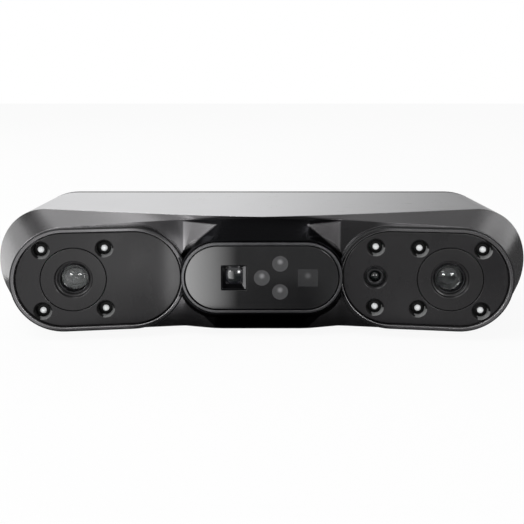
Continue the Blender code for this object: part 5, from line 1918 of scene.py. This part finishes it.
@dataclass
class RearCover:
    """The grained rear cover with its vents, button pad, socket, status light and screws."""

    shell: Envelope
    edge: float = 0.001
    lip: float = 0.0035
    lip_wall: float = 0.0013
    pad_half: float = 0.0235
    pad_radius: float = 0.009
    pad_depth: float = 0.0012
    pad_lip: float = 0.0006
    screw_inset: float = 0.014
    screw_z: float = 0.009
    screw_head: float = 0.0021
    screw_head_height: float = 0.0013
    screw_shank: float = 0.001
    screw_length: float = 0.009
    screw_socket: float = 0.0009
    screw_socket_depth: float = 0.0007
    screw_chamfer: float = 0.0001
    screw_tip: float = 0.0004
    boss: float = 0.0032
    vent_inset: float = 0.026
    vent_half: float = 0.010
    vent_radius: float = 0.0008
    vent_pitch: float = 0.0042
    vent_rows: int = 5
    socket_x: float = 0.040
    socket_half: float = 0.00447
    socket_radius: float = 0.0016
    socket_wall: float = 0.0003
    socket_drop: float = 0.0004
    socket_floor: float = 0.0008
    tongue_half: float = 0.0033
    tongue_thickness: float = 0.0007
    tongue_drop: float = 0.0009
    tongue_edge: float = 0.00005
    socket_edge: float = 0.0001
    socket_lip: float = 0.0003
    contacts: int = 12
    contact_length: float = 0.0022
    contact_margin: float = 0.0003
    contact_rise: float = 0.00004
    contact_corner: float = 0.00003
    hole_lip: float = 0.0002
    vent_lip: float = 0.0004
    status_radius: float = 0.0009
    status_z: float = 0.0135
    switch_space: float = 0.0055
    scan_radius: float = 0.0056
    side_radius: float = 0.0038
    side_offset: float = 0.0145

    @property
    def screw_x(self) -> float:
        """How far the screws stand from the middle."""
        return self.shell.half_length - self.screw_inset

    @property
    def board_back(self) -> float:
        """Y of the main board's back."""
        return self.shell.cover_front - self.switch_space

    def build(self) -> None:
        """Builds and dresses every piece at the back."""
        self._build_cover()
        self._build_screws()
        self._build_socket()
        self._build_status_light()

    def _build_cover(self) -> None:
        """The cover itself."""
        shell, gap = self.shell, self.shell.gap
        front, back, over = shell.cover_front, shell.back, shell.overrun
        outline = Form.growing(shell.half_length, shell.radius)
        cover = Piece("rear_cover_shell", Form.slab(outline, front, back, (0.0, self.edge)), shell.spot())
        inset = shell.wall + gap
        reach = front + shell.cover_thickness / 2
        lip_front = front - self.lip
        cover.join(Form.bar(outline(-inset), lip_front, reach))
        cover.cut(Form.bar(outline(-inset - self.lip_wall), lip_front - over, front))
        for x in (-self.screw_x, self.screw_x):
            for z in (-self.screw_z, self.screw_z):
                post = Form.bar(Form.circle(self.boss, SMALL_ROUND_STEPS), lip_front, reach)
                cover.join(Form.shifted(post, x, z))
                head = self._hole(self.screw_head + gap, back - self.screw_head_height - 2 * gap)
                shank = Form.circle(self.screw_shank + gap, SMALL_ROUND_STEPS)
                bore = Form.bar(shank, lip_front - over, back)
                cover.cut(Form.shifted(head, x, z), Form.shifted(bore, x, z))
        pad = back - self.pad_depth
        cover.cut(self._sunk(Form.growing(self.pad_half, self.pad_radius), pad, self.pad_lip))
        small = self.side_radius
        for x, radius in ((0.0, self.scan_radius), (self.side_offset, small), (-self.side_offset, small)):
            cover.cut(Form.shifted(self._hole(radius + gap, front - over, pad), x))
        socket = Form.growing(self.socket_half + gap, self.socket_radius + gap)
        cover.cut(Form.shifted(self._sunk(socket, front - over, self.socket_lip), self.socket_x))
        cover.cut(Form.shifted(self._hole(self.status_radius + gap, front - over), 0, self.status_z))
        vent = Form.growing(self.vent_half, self.vent_radius, 6)
        for side in (-1, 1):
            for row in range(self.vent_rows):
                z = (row - (self.vent_rows - 1) / 2) * self.vent_pitch
                slot = self._sunk(vent, front - over, self.vent_lip)
                cover.cut(Form.shifted(slot, side * (self.screw_x - self.vent_inset), z))
        cover.dress(Finishes.COVER, Slot.COVER, ["rear_cover"])

    def _sunk(self, outline: Growing, floor: float, lip: float, face: float | None = None) -> Mesh:
        """A cutter that goes in from the back, with a rounded mouth.

        Args:
            outline: Gives the hole's outline, grown by a length.
            floor: Y of the hole's end.
            lip: The radius of the rounded mouth.
            face: Y of the surface that it is cut in; None for the cover's back.

        Returns:
            The mesh.
        """
        face = self.shell.back if face is None else face
        flipped = Form.mouth(outline, -face, -floor, lip, self.shell.overrun)
        return Form.moved(flipped, Matrix.Rotation(math.pi, 4, "Z"))

    def _hole(self, radius: float, floor: float, face: float | None = None) -> Mesh:
        """A cutter for a round hole that goes in from the back, with a rounded mouth."""
        return self._sunk(Form.growing_circle(radius), floor, self.hole_lip, face)

    def _build_screws(self) -> None:
        """Four socket-head screws."""
        head_back = self.shell.back - self.shell.gap
        head_front = head_back - self.screw_head_height
        tip = head_front - self.screw_length
        head, chamfer = self.screw_head, self.screw_chamfer
        profile = [
            (0, tip), (self.screw_shank * 0.7, tip), (self.screw_shank, tip + self.screw_tip),
            (self.screw_shank, head_front), (head, head_front), (head, head_back - 3 * chamfer),
            (head - chamfer, head_back - chamfer), (head - 3 * chamfer, head_back), (0, head_back),
        ]
        hexagon, wide = Form.circle(self.screw_socket, 6), Form.circle(self.screw_socket * 1.2, 6)
        floor = head_back - self.screw_socket_depth
        stack = [(hexagon, floor), (hexagon, head_back - chamfer * 1.2), (wide, head_back + chamfer)]
        places = [(x, z) for x in (-self.screw_x, self.screw_x) for z in (-self.screw_z, self.screw_z)]
        for number, (x, z) in enumerate(places, start=1):
            mesh = Form.turned(profile, SMALL_ROUND_STEPS)
            screw = Piece(f"socket_screw_{number}", mesh, self.shell.spot(x, z))
            screw.cut(Form.layers(stack))
            screw.dress(Finishes.STEEL, Slot.STEEL, [f"cover_screw_{number}"])

    def _build_socket(self) -> None:
        """The data socket: a rolled shell and a tongue with gilt contacts."""
        shell = self.shell
        back = shell.back - self.socket_drop
        front = self.board_back + shell.gap
        outline = Form.growing(self.socket_half, self.socket_radius)
        port = Piece(
            "data_port", Form.slab(outline, front, back, (0.0, self.socket_edge)), shell.spot(self.socket_x)
        )
        floor = front + self.socket_floor
        port.cut(Form.bar(outline(-self.socket_wall), floor, back + shell.overrun))
        half = self.tongue_thickness / 2
        tip = back - self.tongue_drop

        def tongue(grow: float) -> Outline:
            """The tongue's outline, grown by a length."""
            corner = max(self.tongue_edge, half * 0.4 + grow)
            return Form.rounded_rectangle(self.tongue_half + grow, half + grow, corner)

        port.join(Form.slab(tongue, floor - self.socket_floor / 2, tip, (0.0, self.socket_edge)))
        patches = [(Finishes.BAFFLE, self._on_tongue)]
        port.dress(Finishes.STEEL, Slot.STEEL, ["power_data_socket"], patches=patches)
        pitch = 2 * (self.tongue_half - self.contact_margin) / (self.contacts - 1)
        pad = Form.rounded_rectangle(pitch * 0.3, half + self.contact_rise, self.contact_corner)
        for number in range(self.contacts):
            x = (number - (self.contacts - 1) / 2) * pitch
            mesh = Form.bar(pad, tip - self.contact_length, tip - self.contact_margin)
            contact = Piece(f"port_contact_{number + 1}", mesh, shell.spot(self.socket_x + x))
            contact.dress(Finishes.GOLD, Slot.STEEL)

    def _on_tongue(self, face: Face) -> bool:
        """Whether a face of the data socket belongs to its tongue."""
        x, _, z = face.center
        return abs(z) < self.tongue_thickness * 0.55 and abs(x) < self.tongue_half * 1.01

    def _build_status_light(self) -> None:
        """The domed end of the light pipe."""
        shell, radius = self.shell, self.status_radius
        back = shell.back - shell.gap
        front = self.board_back + shell.gap
        profile = [(0, front), (radius, front), (radius, back - radius * 0.5)]
        for i in range(1, LIP_STEPS):
            angle = i * math.pi / 2 / LIP_STEPS
            profile.append((radius * math.cos(angle), back - radius * 0.5 * (1 - math.sin(angle))))
        profile.append((0, back))
        pipe = Piece("status_light", Form.turned(profile, SMALL_ROUND_STEPS), shell.spot(0, self.status_z))
        pipe.dress(Finishes.PIPE, Slot.PIPE, ["status_light_pipe"])


@dataclass
class PushButton:
    """One push button with a raised mark."""

    cover: RearCover
    body: Body
    x: float
    radius: float
    proud: float = 0.0009
    flange: float = 0.0009
    flange_thickness: float = 0.0008
    edge: float = 0.0004
    dish: float = 0.00015
    mark_rise: float = 0.00012
    mark_half: float = 0.0016
    mark_width: float = 0.00022

    def build(self) -> None:
        """Builds and dresses the button and its mark."""
        shell = self.cover.shell
        top = shell.back - self.cover.pad_depth + self.proud
        flange_back = shell.cover_front - shell.gap
        flange_front = flange_back - self.flange_thickness
        radius, edge = self.radius, self.edge
        profile = [
            (0, flange_front), (radius + self.flange, flange_front),
            (radius + self.flange, flange_back), (radius, flange_back), (radius, top - edge),
        ]
        for i in range(1, LIP_STEPS + 1):
            angle = i * math.pi / 2 / LIP_STEPS
            profile.append((radius - edge * (1 - math.cos(angle)), top - edge * (1 - math.sin(angle))))
        for share in (0.75, 0.5, 0.25):
            profile.append(((radius - edge) * share, top - self.dish * (1 - share)))
        profile.append((0, top - self.dish))
        place = shell.spot(self.x)
        name = self.body.value
        button = Piece(f"{name}_cap", Form.turned(profile), place)
        button.dress(Finishes.RUBBER, Slot.RUBBER, [name], self.body)
        foot = top - self.dish - self.mark_rise
        mark = Piece(f"{name}_mark", self._mark(foot, top - self.dish + self.mark_rise), place)
        mark.dress(Finishes.SYMBOL, Slot.RUBBER, body=self.body)

    def _mark(self, foot: float, top: float) -> Mesh:
        """The raised mark: a ring on the scan button, a plus or a minus on the others.

        Args:
            foot: Y of the mark's foot.
            top: Y of its top.

        Returns:
            The mesh.
        """
        half, width = self.mark_half, self.mark_width
        if self.body is Body.SCAN:
            ring = self.radius * 0.42
            profile = [
                (ring - width, foot), (ring + width, foot), (ring + width, top - width / 4),
                (ring + width / 2, top), (ring - width / 2, top), (ring - width, top - width / 4),
            ]
            return Form.turned(profile)
        points = [(-half, -width), (half, -width), (half, width), (-half, width)]
        if self.body is Body.PLUS:
            lower = [(-half, -width), (-width, -width), (-width, -half), (width, -half), (width, -width)]
            upper = [(half, width), (width, width), (width, half), (-width, half), (-width, width)]
            points = [*lower, (half, -width), *upper, (-half, width)]
        return Form.bar(points, foot, top)


class InnerParts:
    """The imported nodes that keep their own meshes."""

    FINISHES = {
        Finishes.BLACK: ("left_lens_holder", "right_lens_holder"),
        Finishes.BOARD: (
            "left_sensor_board", "right_sensor_board",
            "left_lamp_board", "right_lamp_board", "main_board",
        ),
        Finishes.ALUMINIUM: ("emitter_block", "optical_bench", "heat_sink"),
        Finishes.RIBBON: ("left_camera_ribbon", "right_camera_ribbon"),
    }

    def __init__(self, nodes: dict[str, bpy.types.Object]) -> None:
        """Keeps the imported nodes."""
        self.nodes = nodes

    def dress(self) -> None:
        """Gives each kept node its finish."""
        for finish, names in self.FINISHES.items():
            for name in names:
                for holder in self.nodes[name].material_slots:
                    holder.material = finish.material()
                log.info("%s: packed mesh, finish %s", name, finish.name)


@dataclass
class Softbox:
    """A rectangular lamp that faces a point, out of the camera's sight."""

    name: str
    location: Point
    width: float
    height: float
    brightness: float
    aim: Point = (0.0, 0.0, 0.02)
    unlit: tuple[str, ...] = ()

    def build(self) -> None:
        """Puts the lamp in the scene, flagged off the pieces that it leaves unlit."""
        lamp = bpy.data.lights.new(self.name, "AREA")
        lamp.shape = "RECTANGLE"
        lamp.size = self.width
        lamp.size_y = self.height
        lamp.energy = 4 * self.width * self.height * self.brightness
        holder = bpy.data.objects.new(self.name, lamp)
        bpy.context.scene.collection.objects.link(holder)
        holder.location = self.location
        away = Vector(self.location) - Vector(self.aim)
        holder.rotation_euler = away.to_track_quat("Z", "Y").to_euler()
        holder.visible_camera = False
        if not self.unlit:
            return
        flagged = bpy.data.collections.new(f"{self.name}_flagged")
        for name in self.unlit:
            flagged.objects.link(bpy.data.objects[name])
        holder.light_linking.receiver_collection = flagged
        for entry in flagged.collection_objects:
            entry.light_linking.link_state = "EXCLUDE"


@dataclass
class Card:
    """A graded glowing card that shows only as a reflection."""

    name: str
    corners: tuple[Point, ...]
    stops: tuple[Pair, ...]
    brightness: float = 1.0

    @staticmethod
    def level(xs: Pair, ys: Pair, z: float) -> tuple[Point, ...]:
        """The corners of a level card between two places along X and two along Y."""
        (left, right), (near, far) = xs, ys
        return (left, near, z), (right, near, z), (right, far, z), (left, far, z)

    @staticmethod
    def upright(start: Pair, end: Pair, zs: Pair) -> tuple[Point, ...]:
        """The corners of an upright card between two places on the floor and two heights."""
        low, high = zs
        return (*start, low), (*end, low), (*end, high), (*start, high)

    def points(self) -> list[list[Point]]:
        """Its columns of points, from the start of the gradient to its end."""
        first, second, third, fourth = self.corners
        return [[first, fourth], [second, third]]

    def build(self) -> None:
        """Puts the card in the scene."""
        shape = bmesh.new()
        columns = [[shape.verts.new(point) for point in column] for column in self.points()]
        for (low, high), (next_low, next_high) in zip(columns, columns[1:]):
            shape.faces.new((low, next_low, next_high, high))
        reach = [vertex.co.x for vertex in shape.verts]
        start, end = min(reach), max(reach)
        mesh = bpy.data.meshes.new(self.name)
        shape.to_mesh(mesh)
        shape.free()
        card = bpy.data.objects.new(self.name, mesh)
        bpy.context.scene.collection.objects.link(card)
        material = bpy.data.materials.new(self.name)
        material.use_nodes = True
        graph = Graph(material.node_tree)
        graph.tree.nodes.clear()
        along = (graph.axis("X") - start) * (1 / (end - start))
        stops = [(place, (glow, glow, glow)) for place, glow in self.stops]
        ramp = graph.node("ShaderNodeValToRGB", {"stops": stops}, {"Fac": along})
        graph.finish(graph.node("ShaderNodeEmission", None, {"Color": ramp, "Strength": self.brightness}))
        mesh.materials.append(material)
        card.visible_camera = False
        card.visible_diffuse = False
        card.visible_shadow = False


@dataclass
class Screen(Card):
    """A card bent round the scanner's back and sides, graded from left to right."""

    radius: float = 1.2
    foot: float = 0.002
    height: float = 0.62
    half_turn: float = math.radians(100)
    steps: int = 40

    def points(self) -> list[list[Point]]:
        """Its columns of points from the left over the back to the right.

        Returns:
            The columns.
        """
        columns = []
        for i in range(self.steps + 1):
            turn = self.half_turn * (2 * i / self.steps - 1)
            x, y = self.radius * math.sin(turn), self.radius * math.cos(turn)
            columns.append([(x, y, self.foot), (x, y, self.height)])
        return columns


@dataclass
class Studio:
    """The pale floor, the plain white room, the lamps, the cards and the camera."""

    floor_reach: float = 4.0
    floor_colour: Colour = (0.88, 0.88, 0.88)
    floor_glow: float = 0.92
    ambient: float = 0.5
    lens: float = 41.16
    sensor: float = 36.0
    camera_place: Point = (0.0, -0.2312, 0.08745)
    camera_tilt: float = 0.110
    shift: Pair = (0.0003, -0.2)
    cards: tuple[Card, ...] = (
        Screen(
            "graded_screen",
            (),
            (
                (0.0, 0.7), (0.2, 0.8), (0.31, 1.0), (0.48, 0.96), (0.6, 0.7), (0.68, 0.46),
                (0.74, 0.3), (0.79, 1.0), (0.89, 1.0), (0.92, 0.1), (1.0, 0.08),
            ),
        ),
        Card(
            "near_floor_card",
            Card.level((-0.16, 0.16), (-0.088, -0.042), 0.0002),
            (
                (0.0, 1.0), (0.33, 0.85), (0.42, 0.25), (0.56, 0.06),
                (0.66, 0.6), (0.75, 0.4), (1.0, 0.02),
            ),
            1.4,
        ),
        Card(
            "far_floor_card",
            Card.level((-0.16, 0.16), (-0.27, -0.088), 0.0002),
            (
                (0.0, 0.25), (0.22, 0.3), (0.3, 0.6), (0.335, 1.0), (0.36, 1.0),
                (0.42, 0.1), (0.7, 0.1), (0.77, 0.03), (1.0, 0.01),
            ),
            3.6,
        ),
        Card(
            "under_shade",
            Card.level((-0.16, 0.16), (-0.042, 0.034), 0.0002),
            ((0.0, 0.3), (0.2, 0.04), (1.0, 0.02)),
        ),
        Card(
            "overhead_flag",
            Card.level((0.0, 1.4), (-1.0, 2.2), 0.9),
            ((0.0, 0.9), (0.15, 0.56), (0.3, 0.3), (1.0, 0.12)),
        ),
        Card(
            "window_card",
            Card.upright((-0.0325, -0.052), (-0.0092, -0.052), (0.001, 0.028)),
            ((0.0, 1.0), (0.55, 0.5), (1.0, 0.0)),
            7.4,
        ),
        Card(
            "corner_flag",
            Card.upright((-0.9, 0.64), (-0.67, 0.87), (0.27, 0.62)),
            ((0.0, 0.1), (0.15, 0.0), (0.8, 0.0), (1.0, 0.2)),
        ),
        Card(
            "dark_side_card",
            Card.level((0.105, 0.9), (-0.04, 0.9), 0.0004),
            ((0.0, 0.05), (1.0, 0.1)),
        ),
    )
    lamps: tuple[Softbox, ...] = (
        Softbox("overhead_left", (-0.42, -0.4, 1.05), 0.5, 0.5, 4.0),
        Softbox("left_side", (-1.05, -0.1, 0.5), 0.5, 0.5, 5.0),
        Softbox("back_high", (-0.4, 1.0, 1.15), 0.7, 0.4, 1.1),
        Softbox("front_left_spot", (-0.5, -1.05, 0.13), 0.22, 0.2, 22.0, unlit=("sleeve_shell",)),
        Softbox("front_right_spot", (0.42, -1.0, 0.13), 0.22, 0.2, 20.0, unlit=("sleeve_shell",)),
    )

    def build(self) -> None:
        """Builds floor, world, cards, lamps and camera."""
        self._build_floor()
        self._build_world()
        for thing in (*self.cards, *self.lamps):
            thing.build()
        self._build_camera()

    @staticmethod
    def _seen(graph: Graph) -> Signal:
        """1 for rays from the camera, or off or through the object."""
        camera, glossy, through = [graph.node("ShaderNodeLightPath", output=number) for number in (0, 3, 6)]
        return camera.larger(glossy).larger(through)

    def _build_floor(self) -> None:
        """A pale floor that keeps the shadow."""
        shape = bmesh.new()
        bmesh.ops.create_grid(shape, x_segments=4, y_segments=4, size=self.floor_reach)
        mesh = bpy.data.meshes.new("floor")
        shape.to_mesh(mesh)
        shape.free()
        floor = bpy.data.objects.new("floor", mesh)
        bpy.context.scene.collection.objects.link(floor)
        floor.location.z = -0.0001
        material = bpy.data.materials.new("floor_pale")
        material.use_nodes = True
        graph = Graph(material.node_tree)
        graph.tree.nodes.clear()
        matt = graph.node("ShaderNodeBsdfDiffuse", None, {"Color": (*self.floor_colour, 1.0)})
        glow = graph.node("ShaderNodeEmission")
        share = self._seen(graph) * self.floor_glow
        graph.finish(graph.node("ShaderNodeMixShader", None, {0: share, 1: matt, 2: glow}))
        mesh.materials.append(material)

    def _build_world(self) -> None:
        """A plain room: white to the eye and in reflections, dimmer as a light."""
        world = bpy.data.worlds.new("plain_room")
        bpy.context.scene.world = world
        world.use_nodes = True
        graph = Graph(world.node_tree)
        graph.tree.nodes.clear()
        strength = self._seen(graph) * (1 - self.ambient) + self.ambient
        background = graph.node("ShaderNodeBackground", None, {"Color": (1, 1, 1, 1), "Strength": strength})
        graph.finish(background, "ShaderNodeOutputWorld")

    def _build_camera(self) -> None:
        """The camera at the photograph's viewing angle."""
        data = bpy.data.cameras.new("camera")
        data.lens = self.lens
        data.sensor_width = self.sensor
        data.shift_x, data.shift_y = self.shift
        data.clip_start = 0.01
        camera = bpy.data.objects.new("camera", data)
        bpy.context.scene.collection.objects.link(camera)
        camera.location = self.camera_place
        camera.rotation_euler = (math.pi / 2 - self.camera_tilt, 0, 0)
        bpy.context.scene.camera = camera


def main() -> None:
    """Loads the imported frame, builds each sub-assembly round it, and sets the studio."""
    logging.basicConfig(level=logging.INFO, format="%(name)s: %(message)s")
    for thing in list(bpy.data.objects):
        bpy.data.objects.remove(thing)
    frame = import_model()
    bpy.context.scene.view_settings.view_transform = "Standard"
    shell = Envelope()
    window = WindowSizes()
    pods = [Pod(side, shell) for side in Side]
    casing = FrontCasing(shell, pods, window)
    casing.build()
    HousingSleeve(shell, casing).build()
    for pod in pods:
        CameraPod(pod).build()
    ColourCamera(pods[1]).build()
    Window(shell, window).build()
    cover = RearCover(shell)
    cover.build()
    PushButton(cover, Body.SCAN, 0.0, cover.scan_radius).build()
    PushButton(cover, Body.MINUS, cover.side_offset, cover.side_radius).build()
    PushButton(cover, Body.PLUS, -cover.side_offset, cover.side_radius).build()
    InnerParts(frame["nodes"]).dress()
    Studio().build()
    bpy.context.view_layer.update()


if __name__ == "__main__":
    main()
